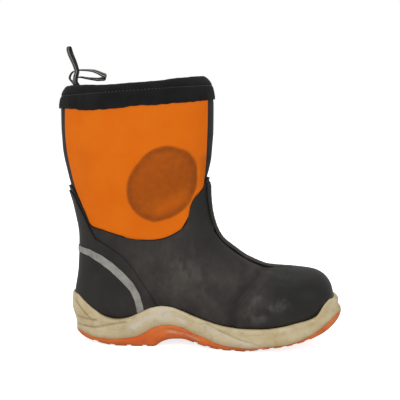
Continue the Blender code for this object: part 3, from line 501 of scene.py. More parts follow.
def place_sheet(mesh, offset, relief=None):
    """Move a sheet's vertices onto the last, at an offset and with a relief added to it."""
    sections, turns = read_sheet(mesh)
    points = last_offset(sections, turns, offset)
    if relief is not None:
        points = last_offset(sections, turns, offset + relief(points + STAND, sections, turns))
    for vert, point in zip(mesh.verts, points + STAND):
        vert.co = point
    outside = last_offset(sections, turns, offset + 0.01) + STAND
    mesh.verts.index_update()
    mesh.normal_update()
    facing = sum(face.normal.dot(Vector(outside[face.verts[0].index]) - face.verts[0].co)
                 for face in mesh.faces)
    if facing < 0.0:
        bmesh.ops.reverse_faces(mesh, faces=mesh.faces)


def add_skin_map(mesh, girth):
    """A UV map in metres: round the form, and along its skin."""
    section_layer = mesh.verts.layers.float["section"]
    turn_layer = mesh.verts.layers.float["turn"]
    skin = mesh.loops.layers.uv.new("skin")
    for face in mesh.faces:
        for corner in face.loops:
            turn = corner.vert[turn_layer] / (2.0 * math.pi)
            corner[skin].uv = (turn * girth, float(skin_length(corner.vert[section_layer])))


def finish_piece(name, mesh, node, wall=None, edge=None, wall_side=-1.0):
    """Make the object of a piece, with its wall and rounded edges, in place of a CAD node."""
    data = bpy.data.meshes.new(name)
    mesh.to_mesh(data)
    mesh.free()
    data.shade_smooth()
    piece = bpy.data.objects.new(name, data)
    bpy.context.scene.collection.objects.link(piece)
    if wall:
        thick = piece.modifiers.new("wall", "SOLIDIFY")
        thick.thickness = wall
        thick.offset = wall_side
        thick.use_even_offset = True
    if edge:
        round_edge = piece.modifiers.new("edge", "BEVEL")
        round_edge.width = edge
        round_edge.segments = 2
        round_edge.limit_method = "ANGLE"
        round_edge.angle_limit = math.radians(50.0)
    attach(piece, "root")
    if node:
        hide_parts(node)
    print(name, "faces:", len(data.polygons))
    return piece


def add_attribute(piece, name, values):
    """Keep one number for each vertex, for a material to read."""
    layer = piece.data.attributes.new(name, "FLOAT", "POINT")
    layer.data.foreach_set("value", np.asarray(values, dtype=np.float32))


# %% [markdown]
# ## Materials
#
# Every finish here is matt and a little dirty. Each material is named for what the real one is
# made of, the two extra copies of the black rubber also for their painted shade and light, and its
# nodes read object coordinates, a skin map in metres, or numbers kept on the vertices, so nothing
# slides when the view changes.

# %% Material helpers
def linear(code):
    """A hex colour as linear values with alpha."""
    values = [int(code[place:place + 2], 16) / 255.0 for place in (1, 3, 5)]
    toned = [v / 12.92 if v <= 0.04045 else ((v + 0.055) / 1.055) ** 2.4 for v in values]
    return (*toned, 1.0)


def add_node(tree, kind, settings=None, links=None):
    """Add a node, set its values and its inputs, and link its inputs to other nodes' outputs."""
    node = tree.nodes.new(kind)
    for name, value in (settings or {}).items():
        if isinstance(name, str) and hasattr(node, name):
            setattr(node, name, value)
        else:
            node.inputs[name].default_value = value
    for name, socket in (links or {}).items():
        tree.links.new(socket, node.inputs[name])
    return node


def new_material(name, base, roughness, ior=1.5):
    """A material with its shader, and the node tree to build on."""
    material = bpy.data.materials.new(name)
    material.use_nodes = True
    tree = material.node_tree
    shader = tree.nodes["Principled BSDF"]
    shader.inputs["Base Color"].default_value = linear(base)
    shader.inputs["Roughness"].default_value = roughness
    shader.inputs["IOR"].default_value = ior
    material.diffuse_color = linear(base)
    return material, tree, shader


def object_noise(tree, scale, detail=4.0, roughness=0.55, stretch=None):
    """Noise in object coordinates; the scale is in waves a metre."""
    place = add_node(tree, "ShaderNodeTexCoord").outputs["Object"]
    if stretch:
        place = add_node(tree, "ShaderNodeMapping", {"Scale": stretch}, {0: place}).outputs[0]
    settings = {"Scale": scale, "Detail": detail, "Roughness": roughness}
    return add_node(tree, "ShaderNodeTexNoise", settings, {"Vector": place}).outputs["Fac"]


def ranged(tree, value, low, high, to_low=0.0, to_high=1.0):
    """A value stretched from one range to another, held at its ends."""
    settings = {"From Min": low, "From Max": high, "To Min": to_low, "To Max": to_high}
    return add_node(tree, "ShaderNodeMapRange", settings, {"Value": value}).outputs["Result"]


def worked(tree, operation, first, second):
    """Two numbers worked together."""
    node = add_node(tree, "ShaderNodeMath", {"operation": operation})
    for place, value in enumerate((first, second)):
        if isinstance(value, float):
            node.inputs[place].default_value = value
        else:
            tree.links.new(value, node.inputs[place])
    return node.outputs[0]


def mixed(tree, share, first, second):
    """A colour between two, each a hex code or a socket."""
    node = add_node(tree, "ShaderNodeMix", {"data_type": "RGBA"})
    tree.links.new(share, node.inputs["Factor"])
    for place, value in ((6, first), (7, second)):
        if isinstance(value, str):
            node.inputs[place].default_value = linear(value)
        else:
            tree.links.new(value, node.inputs[place])
    return node.outputs[2]


def kept_number(tree, name):
    """A number kept on the vertices."""
    return add_node(tree, "ShaderNodeAttribute", {"attribute_name": name}).outputs["Fac"]


def bumped(tree, shader, height, distance, strength=1.0, before=None):
    """A bump of a height in metres, before or after another one."""
    links = {"Height": height}
    if before is not None:
        links["Normal"] = before
    settings = {"Distance": distance, "Strength": strength}
    normal = add_node(tree, "ShaderNodeBump", settings, links).outputs["Normal"]
    tree.links.new(normal, shader.inputs["Normal"])
    return normal


print("material helpers ready")

# %% [markdown]
# ### Black rubber
#
# The foot is vulcanised natural rubber, pressed in a mould with a fine grain and then worn
# outdoors. Dust dries into the grain and turns the black brown, most of all on the vamp and round
# the ankle, and rubbing leaves pale grey scuffs at the toe. Less dust down the front of the toe, in
# the dent at the front of the ankle and in the fold behind the toe cap leaves those places darker:
# that is painted shade, and one pale patch on the toe is a painted highlight. The dust with its
# painted shade and the scuffs with that highlight are numbers on the vertices, broken up by noise.

# %% Black rubber
GRAIN = 1.0 / (1.6 * MM)
CLOUDS = 1.0 / (38.0 * MM)
SMEARS = 1.0 / (9.0 * MM)


def moulded_rubber(name, base, dust_tone, scuff_and_highlight_tone):
    """Pressed black rubber with a fine grain, dried dust, painted shade where the dust is held back,
    and pale scuffs, one of them a painted highlight.
    """
    material, tree, shader = new_material(name, base, 0.56, 1.38)
    clouds = object_noise(tree, CLOUDS, 3.0)
    smears = object_noise(tree, SMEARS, 5.0, 0.65, (1.0, 1.0, 0.6))
    specks = object_noise(tree, GRAIN, 2.0, 0.6)
    dust = kept_number(tree, "dust")
    # The dust number also carries painted shade: where it is held low, the rubber stays dark.
    dust = worked(tree, "MULTIPLY", dust, ranged(tree, clouds, 0.36, 0.64, 0.3, 1.25))
    dust = worked(tree, "MULTIPLY", dust, ranged(tree, smears, 0.34, 0.66, 0.6, 1.3))
    colour = mixed(tree, dust, base, dust_tone)
    # The scuff number also carries a painted highlight on the toe.
    scuff = worked(tree, "MULTIPLY", kept_number(tree, "scuff"), ranged(tree, smears, 0.42, 0.62))
    scuff = worked(tree, "MULTIPLY", scuff, ranged(tree, specks, 0.3, 0.6, 0.4, 1.0))
    colour = mixed(tree, scuff, colour, scuff_and_highlight_tone)
    tree.links.new(colour, shader.inputs["Base Color"])
    rough = ranged(tree, worked(tree, "ADD", dust, smears), 0.4, 1.4, 0.44, 0.70)
    tree.links.new(rough, shader.inputs["Roughness"])
    grain = bumped(tree, shader, specks, 0.10 * MM, 0.8)
    bumped(tree, shader, smears, 0.35 * MM, 0.7, grain)
    return material


black_rubber = moulded_rubber("black_rubber_moulded", "#1B1A19", "#48423D", "#5E5C58")
# A darker copy of the black rubber for the heel counter: painted shade on the heel.
shaded_counter_rubber = moulded_rubber("counter_rubber_painted_shade", "#1A1918", "#3F3A36", "#5A5854")
# A lighter, dustier copy of the black rubber for the instep's ridge: painted light on the raised
# bead.
lit_ridge_rubber = moulded_rubber("ridge_rubber_painted_light", "#201E1B", "#4C463F", "#5E5A53")

# %% [markdown]
# ### Cream and orange rubber
#
# The cream cup is compression-moulded rubber and the tread under it a harder orange one. Both
# are satin under a film of dirt, thickest along the lower edge. The darker tone along the heel's
# ribs and just above the forefoot's step is painted shade, and the pale places are partly rubbed
# rubber and partly painted highlights.

# %% Cream and orange rubber
def sole_rubber(name, base, light, dirt_and_shade_tone, spots, pale, roughness):
    """Moulded sole rubber with uneven tone, dirt and painted shade in its low places, pale places
    that are partly painted highlights, and a few dark marks.
    """
    material, tree, shader = new_material(name, base, roughness, 1.52)
    clouds = object_noise(tree, 1.0 / (24.0 * MM), 3.0)
    smears = object_noise(tree, 1.0 / (6.0 * MM), 5.0, 0.62, (0.6, 1.0, 1.0))
    marks = object_noise(tree, 1.0 / (5.0 * MM), 3.0, 0.7)
    colour = mixed(tree, ranged(tree, clouds, 0.38, 0.64), base, light)
    # Pale places: partly rubbed rubber, partly painted highlights on the step's lip and the shank.
    rubbed_and_highlit = ranged(tree, smears, 0.36, 0.56, 0.1, 1.0)
    rubbed_and_highlit = worked(tree, "MULTIPLY", kept_number(tree, "pale"), rubbed_and_highlit)
    colour = mixed(tree, rubbed_and_highlit, colour, pale)
    dirt_and_shade_film = ranged(tree, smears, 0.50, 0.74, 0.0, 0.40)
    # The dirt number also carries painted shade in the ribs and above the forefoot's step.
    dirt_and_shade_film = worked(tree, "ADD", kept_number(tree, "grime"), dirt_and_shade_film)
    colour = mixed(tree, dirt_and_shade_film, colour, dirt_and_shade_tone)
    colour = mixed(tree, ranged(tree, marks, 0.70, 0.76, 0.0, 0.8), colour, spots)
    tree.links.new(colour, shader.inputs["Base Color"])
    rough = ranged(tree, smears, 0.3, 0.7, roughness - 0.08, roughness + 0.14)
    tree.links.new(rough, shader.inputs["Roughness"])
    fine = bumped(tree, shader, object_noise(tree, GRAIN, 2.0), 0.08 * MM, 0.7)
    bumped(tree, shader, smears, 0.25 * MM, 0.6, fine)
    return material


cream_rubber = sole_rubber("cream_rubber_moulded", "#CDB98E", "#D9CBA6", "#A18A60", "#4A4238",
                           "#DDD6C6", 0.55)
orange_rubber = sole_rubber("orange_rubber_tread", "#E06418", "#E87A30", "#A25526", "#5A3820",
                            "#E0B49A", 0.55)

# %% [markdown]
# ### Knits, neoprene, webbing and tape
#
# The panels are polyester jersey laminated to neoprene: matt, evenly orange, with a dark round
# stain where dirt soaked in. A real wale is 0.5 mm wide, too fine for this picture, so it is drawn
# at 1.3 mm. The binding is a brushed black knit, the loops are woven webbing with a pale stripe,
# and the heel's strip is glass-bead reflective tape.

# %% Cloth materials
WALE = 1.3 * MM


def knit_height(tree, pitch):
    """Rows of stitches on the skin map, as a height."""
    skin = add_node(tree, "ShaderNodeUVMap", {"uv_map": "skin"}).outputs["UV"]
    waves = []
    for direction, share in (("X", 1.0), ("Y", 0.8)):
        settings = {"bands_direction": direction, "Scale": share * math.pi / (10.0 * pitch),
                    "Distortion": 0.6, "Detail": 1.0, "Detail Scale": 0.5}
        waves.append(add_node(tree, "ShaderNodeTexWave", settings, {"Vector": skin}).outputs["Fac"])
    return worked(tree, "MULTIPLY", waves[0], waves[1])


def jersey(name, base, pale, stain_tone):
    """Laminated polyester jersey with a soaked-in stain."""
    material, tree, shader = new_material(name, base, 0.82, 1.3)
    clouds = object_noise(tree, 1.0 / (30.0 * MM), 4.0)
    blots = object_noise(tree, 1.0 / (7.0 * MM), 5.0, 0.6)
    colour = mixed(tree, ranged(tree, clouds, 0.35, 0.68, 0.0, 0.7), base, pale)
    stain = ranged(tree, blots, 0.3, 0.7, 0.80, 1.05)
    stain = worked(tree, "MULTIPLY", kept_number(tree, "stain"), stain)
    colour = mixed(tree, stain, colour, stain_tone)
    tree.links.new(colour, shader.inputs["Base Color"])
    knit = bumped(tree, shader, knit_height(tree, WALE), 0.10 * MM, 0.6)
    bumped(tree, shader, clouds, 0.8 * MM, 0.5, knit)
    return material


def black_cloth(name, base, worn, pitch, sheen):
    """Black knitted cloth with lint and worn, greyer places."""
    material, tree, shader = new_material(name, base, 0.9, 1.3)
    lint = object_noise(tree, 1.0 / (1.8 * MM), 3.0, 0.7)
    clouds = object_noise(tree, 1.0 / (16.0 * MM), 4.0)
    share = ranged(tree, clouds, 0.4, 0.7, 0.0, 0.6)
    share = worked(tree, "ADD", ranged(tree, lint, 0.52, 0.78, 0.0, 0.5), share)
    tree.links.new(mixed(tree, share, base, worn), shader.inputs["Base Color"])
    shader.inputs["Sheen Weight"].default_value = sheen
    shader.inputs["Sheen Roughness"].default_value = 0.6
    knit = bumped(tree, shader, knit_height(tree, pitch), 0.15 * MM, 0.7)
    bumped(tree, shader, lint, 0.25 * MM, 0.6, knit)
    return material


orange_jersey = jersey("orange_jersey_laminate", "#EC7000", "#F07A0C", "#98490C")
binding_knit = black_cloth("black_binding_knit", "#111011", "#201E20", 1.6 * MM, 0.04)
neoprene_knit = black_cloth("black_neoprene_knit", "#171618", "#272628", 1.2 * MM, 0.1)

STRIPE_AT = 0.27
STRIPE_HALF = 0.09
RIB_PITCH = 1.4 * MM


def webbing(name, base, stripe):
    """Woven polyester webbing: dark, with two pale stripes and ribs across it."""
    material, tree, shader = new_material(name, base, 0.78)
    skin = add_node(tree, "ShaderNodeUVMap", {"uv_map": "skin"}).outputs["UV"]
    parts = add_node(tree, "ShaderNodeSeparateXYZ", None, {0: skin})
    centred = worked(tree, "ABSOLUTE", worked(tree, "SUBTRACT", parts.outputs["X"], 0.5), 0.0)
    gap = worked(tree, "ABSOLUTE", worked(tree, "SUBTRACT", centred, STRIPE_AT), 0.0)
    band = ranged(tree, gap, STRIPE_HALF * 0.7, STRIPE_HALF, 1.0, 0.0)
    fleck = object_noise(tree, 1.0 / (1.2 * MM), 3.0, 0.7)
    band = worked(tree, "MULTIPLY", band, ranged(tree, fleck, 0.35, 0.6, 0.45, 1.0))
    tree.links.new(mixed(tree, band, base, stripe), shader.inputs["Base Color"])
    rib = add_node(tree, "ShaderNodeTexWave", {"bands_direction": "Y",
                   "Scale": math.pi / (10.0 * RIB_PITCH), "Distortion": 0.4}, {"Vector": skin})
    weave = bumped(tree, shader, rib.outputs["Fac"], 0.25 * MM, 0.9)
    bumped(tree, shader, fleck, 0.15 * MM, 0.6, weave)
    return material


black_webbing = webbing("black_striped_webbing", "#2A2829", "#B9B6AC")


def bead_tape(name):
    """Glass-bead reflective tape, dusty, with a fine bead texture."""
    material, tree, shader = new_material(name, "#96958E", 0.42)
    beads = object_noise(tree, 1.0 / (1.2 * MM), 2.0, 0.7)
    smears = object_noise(tree, 1.0 / (8.0 * MM), 4.0)
    colour = mixed(tree, ranged(tree, smears, 0.35, 0.7), "#A2A19A", "#83827B")
    tree.links.new(colour, shader.inputs["Base Color"])
    tree.links.new(ranged(tree, smears, 0.3, 0.7, 0.34, 0.55), shader.inputs["Roughness"])
    bumped(tree, shader, beads, 0.06 * MM, 0.8)
    return material


reflective_tape = bead_tape("glass_bead_tape")
print("materials:", len(bpy.data.materials))

# %% [markdown]
# ## The rubber shoe
#
# On the real boot this is one piece of rubber pulled over a last and vulcanised. Here a sheet runs
# over the last from the toe to the rim, whose line in the side view curves round the panel. The
# creases are put in as soft troughs and ridges: the crack and the fold behind the toe cap,
# the dent at the front of the ankle, the groove beside the instep's ridge, and small waves.

# %% Rim, creases, dust, scuffs and painted light of the shoe
RIM_ROWS = (
    (-0.530, 1.338),
    (-0.427, 1.338),
    (-0.399, 1.318),
    (-0.365, 1.255),
    (-0.325, 1.190),
    (-0.282, 1.098),
    (-0.206, 1.079),
    (-0.088, 1.047),
    (-0.012, 1.031),
    (0.098, 1.020),
    (0.174, 1.027),
    (0.249, 1.057),
    (0.306, 1.098),
    (0.332, 1.145),
    (0.349, 1.226),
    (0.380, 1.280),
    (0.423, 1.322),
    (0.441, 1.360),
    (0.458, 1.390),
    (0.541, 1.392),
)
RIM = columns(("ahead", "level"), RIM_ROWS)
RIDGE_GAP = 8.6 * MM
FOOT_SIDE = -0.047
VAMP_SIDE = -0.030
RIDGE_SIDE = -0.018
CAP_FOLD = side_line(FOOT_SIDE, (266, 272), (255, 283), (245, 292), (236, 303), (231, 315),
                     (232, 335))
SCUFF_AND_HIGHLIGHT_SHARE = 0.55
CAP_CRACK = side_line(FOOT_SIDE, (236, 318), (234, 327), (232, 336))
RIDGE_CREASE = side_line(RIDGE_SIDE, (216, 231.2), (223.7, 240.8), (233.3, 249.4), (242.8, 256.1),
                         (254.3, 262.8), (265.8, 268.5), (275, 271.6), (286, 272.8))
ANKLE_DENT = side_line(VAMP_SIDE, (200, 216), (205, 228), (206, 242))
SCUFFS_AND_HIGHLIGHT = (
    # The first scuff, on the toe, is a painted highlight; the other three are pale scuffs.
    (side_line(FOOT_SIDE, (250, 316), (262, 317)), 7.0 * MM),
    (side_line(FOOT_SIDE, (265, 309), (285, 305)), 6.0 * MM),
    (side_line(FOOT_SIDE, (180, 268), (192, 277)), 9.0 * MM),
    (side_line(FOOT_SIDE, (247, 309), (259, 297)), 4.0 * MM),
)
# Painted shade: along these lines the rubber keeps less dust and stays darker, down the front of the
# toe and in the dent at the front of the ankle.
SHADED_TOE = side_line(FOOT_SIDE, (290, 292), (332, 312))
SHADED_ANKLE = side_line(VAMP_SIDE, (208, 195), (202, 218), (206, 242), (222, 262))


def rim_height(x):
    """Height of the rubber's rim in the side view, in the last's own places."""
    return smooth(SHAFT_AXIS + RIM["ahead"] * SHAFT_DEPTH, level(RIM["level"]), x)


def ridge_groove(points, sections):
    """How deep the groove beside the instep's ridge is."""
    middle = smooth(LAST_PLACES, LAST["middle"], sections) + STAND[1]
    away = np.abs(points[:, 1] - middle)
    reach = np.clip((sections - 4.6) / 1.6, 0.0, 1.0) * np.clip((12.3 - sections) / 1.0, 0.0, 1.0)
    return bell(away - RIDGE_GAP, 2.0 * MM) * reach


def shoe_relief(points, sections, turns):
    """Height of the shoe's creases above the last."""
    x, z = points[:, 0], points[:, 2]
    upper_side = np.clip(-np.cos(turns) * 3.0 + 1.6, 0.0, 1.0)
    middle = smooth(LAST_PLACES, LAST["middle"], sections) + STAND[1]
    beside = np.clip((np.abs(points[:, 1] - middle) - RIDGE_GAP) / (8.0 * MM), 0.0, 1.0)
    fold = line_distance(CAP_FOLD, x, z)
    crack = line_distance(CAP_CRACK, x, z)
    height = -1.6 * MM * bell(fold, 3.5 * MM) + 0.9 * MM * bell(fold - 8.0 * MM, 4.5 * MM)
    height -= 1.7 * MM * bell(crack, 1.7 * MM)
    height -= 1.8 * MM * bell(line_distance(ANKLE_DENT, x, z), 7.0 * MM)
    waves = np.sin(x * 95.0 + z * 60.0) * np.sin(z * 130.0 - x * 40.0 + points[:, 1] * 50.0)
    height += 0.22 * MM * waves
    height *= upper_side * beside
    crease = line_distance(RIDGE_CREASE, x, z)
    outer = side_share(points) * np.clip((z - 0.06) / 0.01, 0.0, 1.0)
    height -= 1.1 * MM * bell(crease, 1.7 * MM) * outer
    height += 0.6 * MM * bell(crease - 4.5 * MM, 2.4 * MM) * outer
    height -= 0.9 * MM * ridge_groove(points, sections)
    return height


def side_share(points):
    """1 on the outer side of the boot, 0 on the inner side."""
    return np.clip(0.5 - points[:, 1] / (20.0 * MM), 0.0, 1.0)


# %% The rubber shoe
rim_columns = np.linspace(0.0, 2.0 * math.pi, 193)
heights = last_points(FINE_SECTIONS[None, :], rim_columns[:, None])
above = heights[..., 2] - rim_height(heights[..., 0])
above[:, FINE_SECTIONS < FOOT_END] = -1.0
RIM_SECTION = first_crossing(above, FINE_SECTIONS)
print("rim between sections:", round(RIM_SECTION.min(), 2), round(RIM_SECTION.max(), 2))


def shoe_place(round_share, up_share):
    """Section and turn of a share round the shoe and a share up it."""
    turns = round_share * 2.0 * math.pi
    rim = np.interp(turns, rim_columns, RIM_SECTION)
    return skin_section(up_share * skin_length(rim)), turns


def close_round(mesh):
    """Join the two ends of a sheet that goes right round."""
    bmesh.ops.remove_doubles(mesh, verts=mesh.verts, dist=0.01 * MM)


def add_dust_and_painted_light(piece, base_dust):
    """Dust and scuffs of the black rubber, kept on a piece's vertices, with painted shade where the
    dust is held back and a painted highlight among the scuffs.
    """
    points = np.array([vert.co for vert in piece.data.vertices])
    x, z = points[:, 0], points[:, 2]
    vamp = np.exp(-((x - 0.035) / 0.045) ** 2 - ((z - 0.080) / 0.030) ** 2)
    ankle = np.exp(-((x + 0.02) / 0.045) ** 2 - ((z - 0.080) / 0.05) ** 2)
    # Painted shade: less dust down the front of the toe, in the ankle's dent and in the fold behind
    # the toe cap.
    painted_shade = bell(line_distance(SHADED_TOE, x, z), 22.0 * MM)
    painted_shade = np.maximum(painted_shade, bell(line_distance(SHADED_ANKLE, x, z), 14.0 * MM))
    painted_shade = np.maximum(painted_shade, 0.7 * bell(line_distance(CAP_FOLD, x, z), 5.0 * MM))
    dust = np.clip(base_dust + 0.3 * vamp + 0.55 * ankle - 0.4 * painted_shade, 0.0, 1.0)
    scuff = np.zeros(len(points))
    for line, width in SCUFFS_AND_HIGHLIGHT:
        scuff = np.maximum(scuff, bell(line_distance(line, x, z), width))
    add_attribute(piece, "dust", dust)
    add_attribute(piece, "scuff", SCUFF_AND_HIGHLIGHT_SHARE * scuff * side_share(points))


shoe_mesh = lay_sheet(192, 190, shoe_place)
place_sheet(shoe_mesh, 0.0, shoe_relief)
close_round(shoe_mesh)
toe_ring = [edge for edge in shoe_mesh.edges if edge.is_boundary
            and max(vert.co.x for vert in edge.verts) > 0.13 and edge.verts[0].co.z < 0.075]
bmesh.ops.holes_fill(shoe_mesh, edges=toe_ring, sides=0)
under = [face for face in shoe_mesh.faces if face.normal.z < -0.7
         and face.calc_center_median().z < 0.045]
in_margin = []
for face in under:
    middle = face.calc_center_median() - Vector(STAND)
    side = "medial" if middle.y > 0.0 else "lateral"
    if abs(middle.y) < float(plan_half(side, middle.x)) - 17.0 * MM:
        in_margin.append(face)
bmesh.ops.delete(shoe_mesh, geom=in_margin, context="FACES")
shoe = finish_piece("rubber_shoe", shoe_mesh, "upper", RUBBER_WALL, 0.7 * MM)
shoe.data.materials.append(black_rubber)
add_dust_and_painted_light(shoe, 0.30)

# %% [markdown]
# ## The instep's ridge
#
# A half-round bead is moulded down the middle of the instep, from the peak of the rim to the toe
# cap, where it sinks into the surface. It is a long narrow sheet, drawn out upwards and domed.

# %% Instep ridge
RIDGE_WIDTH = 14.0 * MM
RIDGE_RISE = 1.8 * MM
RIDGE_START = 4.1
RIDGE_END = 12.0


def ridge_place(across_share, up_share):
    """Section and turn of a share across the ridge and a share up it."""
    low, high = skin_length(RIDGE_START), skin_length(RIDGE_END)
    sections = skin_section(low + (high - low) * up_share)
    half = smooth(LAST_PLACES, LAST["half"], sections)
    roundness = smooth(LAST_PLACES, LAST["top_round"], sections)
    away = (across_share - 0.5) * RIDGE_WIDTH
    reach = np.arcsin((np.abs(away) / half) ** (roundness / 2.0))
    return sections, math.pi + np.sign(away) * reach


def ridge_dome(sections, turns):
    """Height of the ridge's face: a dome across it, fading at the toe."""
    fade = np.clip(0.15 + (sections - RIDGE_START) / 2.0, 0.0, 1.0)
    fade = np.minimum(fade, np.clip(0.2 + (RIDGE_END - sections) / 0.5, 0.0, 1.0))
    half = smooth(LAST_PLACES, LAST["half"], sections)
    roundness = smooth(LAST_PLACES, LAST["top_round"], sections)
    away = np.abs(np.sin(turns)) ** (2.0 / roundness) * half / (RIDGE_WIDTH / 2.0)
    dome = np.sqrt(np.clip(1.0 - np.clip(away, 0.0, 1.0) ** 2.6, 0.0, 1.0))
    wear = 0.12 * MM * np.sin(sections * 21.0) * np.sin(sections * 7.3)
    return RIDGE_RISE * fade * dome + wear * dome


ridge_mesh = lay_sheet(14, 150, ridge_place)
place_sheet(ridge_mesh, CLEARANCE)
drawn = bmesh.ops.extrude_face_region(ridge_mesh, geom=list(ridge_mesh.faces), use_keep_orig=True)
face_verts = [item for item in drawn["geom"] if isinstance(item, bmesh.types.BMVert)]
section_layer = ridge_mesh.verts.layers.float["section"]
turn_layer = ridge_mesh.verts.layers.float["turn"]
face_sections = np.array([vert[section_layer] for vert in face_verts])
face_turns = np.array([vert[turn_layer] for vert in face_verts])
rises = 2 * CLEARANCE + ridge_dome(face_sections, face_turns)
for vert, point in zip(face_verts, last_offset(face_sections, face_turns, rises) + STAND):
    vert.co = point
bmesh.ops.recalc_face_normals(ridge_mesh, faces=ridge_mesh.faces)
ridge = finish_piece("moulded_instep_ridge", ridge_mesh, "instep_ridge")
ridge.data.materials.append(lit_ridge_rubber)
# The ridge gets more dust than the shoe; with its lighter rubber this paints light on the raised
# bead.
add_dust_and_painted_light(ridge, 0.45)

# %% [markdown]
# ## The neoprene shaft
#
# A tube of neoprene with a knitted face stands inside the rubber and carries the panels. It shows
# as a narrow black strip at the back and a wider one at the front, and as the lining from above.
# Soft dents, a fraction of a millimetre deep, keep it from looking turned on a lathe.

# %% Neoprene shaft
SLEEVE_FOOT_ROWS = (
    (-0.530, 0.700),
    (-0.254, 0.740),
    (0.092, 0.790),
    (0.333, 0.860),
    (0.713, 0.980),
)
SLEEVE_FOOT = columns(("ahead", "level"), SLEEVE_FOOT_ROWS)
SLEEVE_TOP = BINDING_TOP - 0.35
SLEEVE_FACE = -RUBBER_WALL - CLEARANCE

foot_heights = smooth(SHAFT_AXIS + SLEEVE_FOOT["ahead"] * SHAFT_DEPTH,
                      level(SLEEVE_FOOT["level"]), heights[..., 0])
over_foot = heights[..., 2] - foot_heights
over_foot[:, FINE_SECTIONS < FOOT_END] = -1.0
SLEEVE_SECTION = first_crossing(over_foot, FINE_SECTIONS)


def sleeve_place(round_share, up_share):
    """Section and turn of a share round the sleeve and a share up it."""
    turns = round_share * 2.0 * math.pi
    low = skin_length(np.interp(turns, rim_columns, SLEEVE_SECTION))
    high = skin_length(SLEEVE_TOP)
    return skin_section(low + (high - low) * up_share), turns


def cloth_relief(points, sections, turns):
    """Soft dents of the shaft, the same for the neoprene and the panels laminated to it."""
    x, y, z = points[:, 0], points[:, 1], points[:, 2]
    dents = np.sin(z * 42.0 + x * 25.0) * np.sin(x * 38.0 - z * 17.0 + y * 30.0)
    folds = np.sin(z * 88.0 - x * 35.0 + 1.2) * bell(z - 0.165, 0.035)
    return (0.30 * dents + 0.25 * folds) * MM * np.clip((0.262 - z) / 0.03, 0.0, 1.0)


SHAFT_GIRTH = 0.44
sleeve_mesh = lay_sheet(176, 110, sleeve_place)
place_sheet(sleeve_mesh, SLEEVE_FACE, cloth_relief)
add_skin_map(sleeve_mesh, SHAFT_GIRTH)
close_round(sleeve_mesh)
sleeve = finish_piece("neoprene_sleeve", sleeve_mesh, "shaft", SLEEVE_WALL, 0.6 * MM)
sleeve.data.materials.append(neoprene_knit)

# %% [markdown]
# ## The orange panels
#
# Each side has one panel of coloured jersey, glued on before the rubber is pressed over its lower
# edge. Its four edges are lines in the side view: the rim below, the binding above, and the black
# strips in front and behind. The sheet is laid between those four lines, so no cut is needed.

# %% Panel edges
PANEL_AFT_ROWS = (
    (-0.437, 1.900),
    (-0.444, 1.680),
    (-0.435, 1.558),
    (-0.420, 1.468),
    (-0.399, 1.377),
    (-0.380, 1.315),
    (-0.352, 1.250),
    (-0.254, 1.000),
)
PANEL_FORE_ROWS = (
    (0.385, 1.000),
    (0.432, 1.335),
    (0.446, 1.461),
    (0.456, 1.600),
    (0.461, 1.738),
    (0.461, 1.900),
)
PANEL_WALL = 1.0 * MM
PANEL_TOP = BINDING_START - 0.04
STEEPEST = 2.2 * MM


def edge_turns(rows):
    """Turn at which an upright line of the side view meets each fine section."""
    edge = columns(("ahead", "level"), sorted(rows, key=lambda row: row[1]))
    points = last_points(FINE_SECTIONS[:, None], FINE_TURNS[None, :])
    line_x = SHAFT_AXIS + smooth(level(edge["level"]), edge["ahead"], points[..., 2]) * SHAFT_DEPTH
    return first_crossing(points[..., 0] - line_x, FINE_TURNS)


AFT_TURNS = edge_turns(PANEL_AFT_ROWS)
FORE_TURNS = edge_turns(PANEL_FORE_ROWS)


def panel_place(round_share, up_share, turned):
    """Section and turn between a panel's four edges, on the side that turned gives (1 or -1)."""
    shares = np.unique(np.round(round_share, 6))
    lines = AFT_TURNS + (FORE_TURNS - AFT_TURNS) * shares[:, None]
    rim = np.interp(np.mod(lines * turned, 2.0 * math.pi), rim_columns, RIM_SECTION)
    under_rim = (rim - FINE_SECTIONS)[:, ::-1]
    low = skin_length(first_crossing(under_rim, FINE_SECTIONS[::-1])) + 0.6 * MM
    steps = STEEPEST * np.arange(len(shares))
    low = np.minimum.accumulate(low - steps) + steps
    low = (np.minimum.accumulate(low[::-1] - steps) + steps)[::-1]
    low = np.interp(round_share, shares, low)
    sections = skin_section(low + (skin_length(PANEL_TOP) - low) * up_share)
    turns = np.interp(sections, FINE_SECTIONS, AFT_TURNS)
    turns += (np.interp(sections, FINE_SECTIONS, FORE_TURNS) - turns) * round_share
    return sections, turns * turned


PANEL_SIDE = -0.049
STAIN_CENTRE = on_side(160.0, 185.0, PANEL_SIDE)
STAIN_EDGE = side_line(PANEL_SIDE, (195, 176), (194, 163), (187, 152.5), (177, 148.5), (166, 146),
                       (154, 149), (144, 155.5), (138, 163), (131, 172), (127, 181), (125.5, 192),
                       (127, 204), (133, 214), (142, 221), (151, 224.5), (162, 222.5), (174, 218),
                       (185, 209), (191, 198), (194.5, 187)) - STAIN_CENTRE
STAIN_TURNS = np.arctan2(STAIN_EDGE[:, 1], STAIN_EDGE[:, 0])
STAIN_REACH = np.hypot(STAIN_EDGE[:, 0], STAIN_EDGE[:, 1])
SMUDGE = side_line(PANEL_SIDE, (203, 160), (202, 182))
AFT_SMUDGE = side_line(PANEL_SIDE, (80, 150), (84, 185))
STAIN_WORN = side_line(PANEL_SIDE, (158, 212), (182, 200))


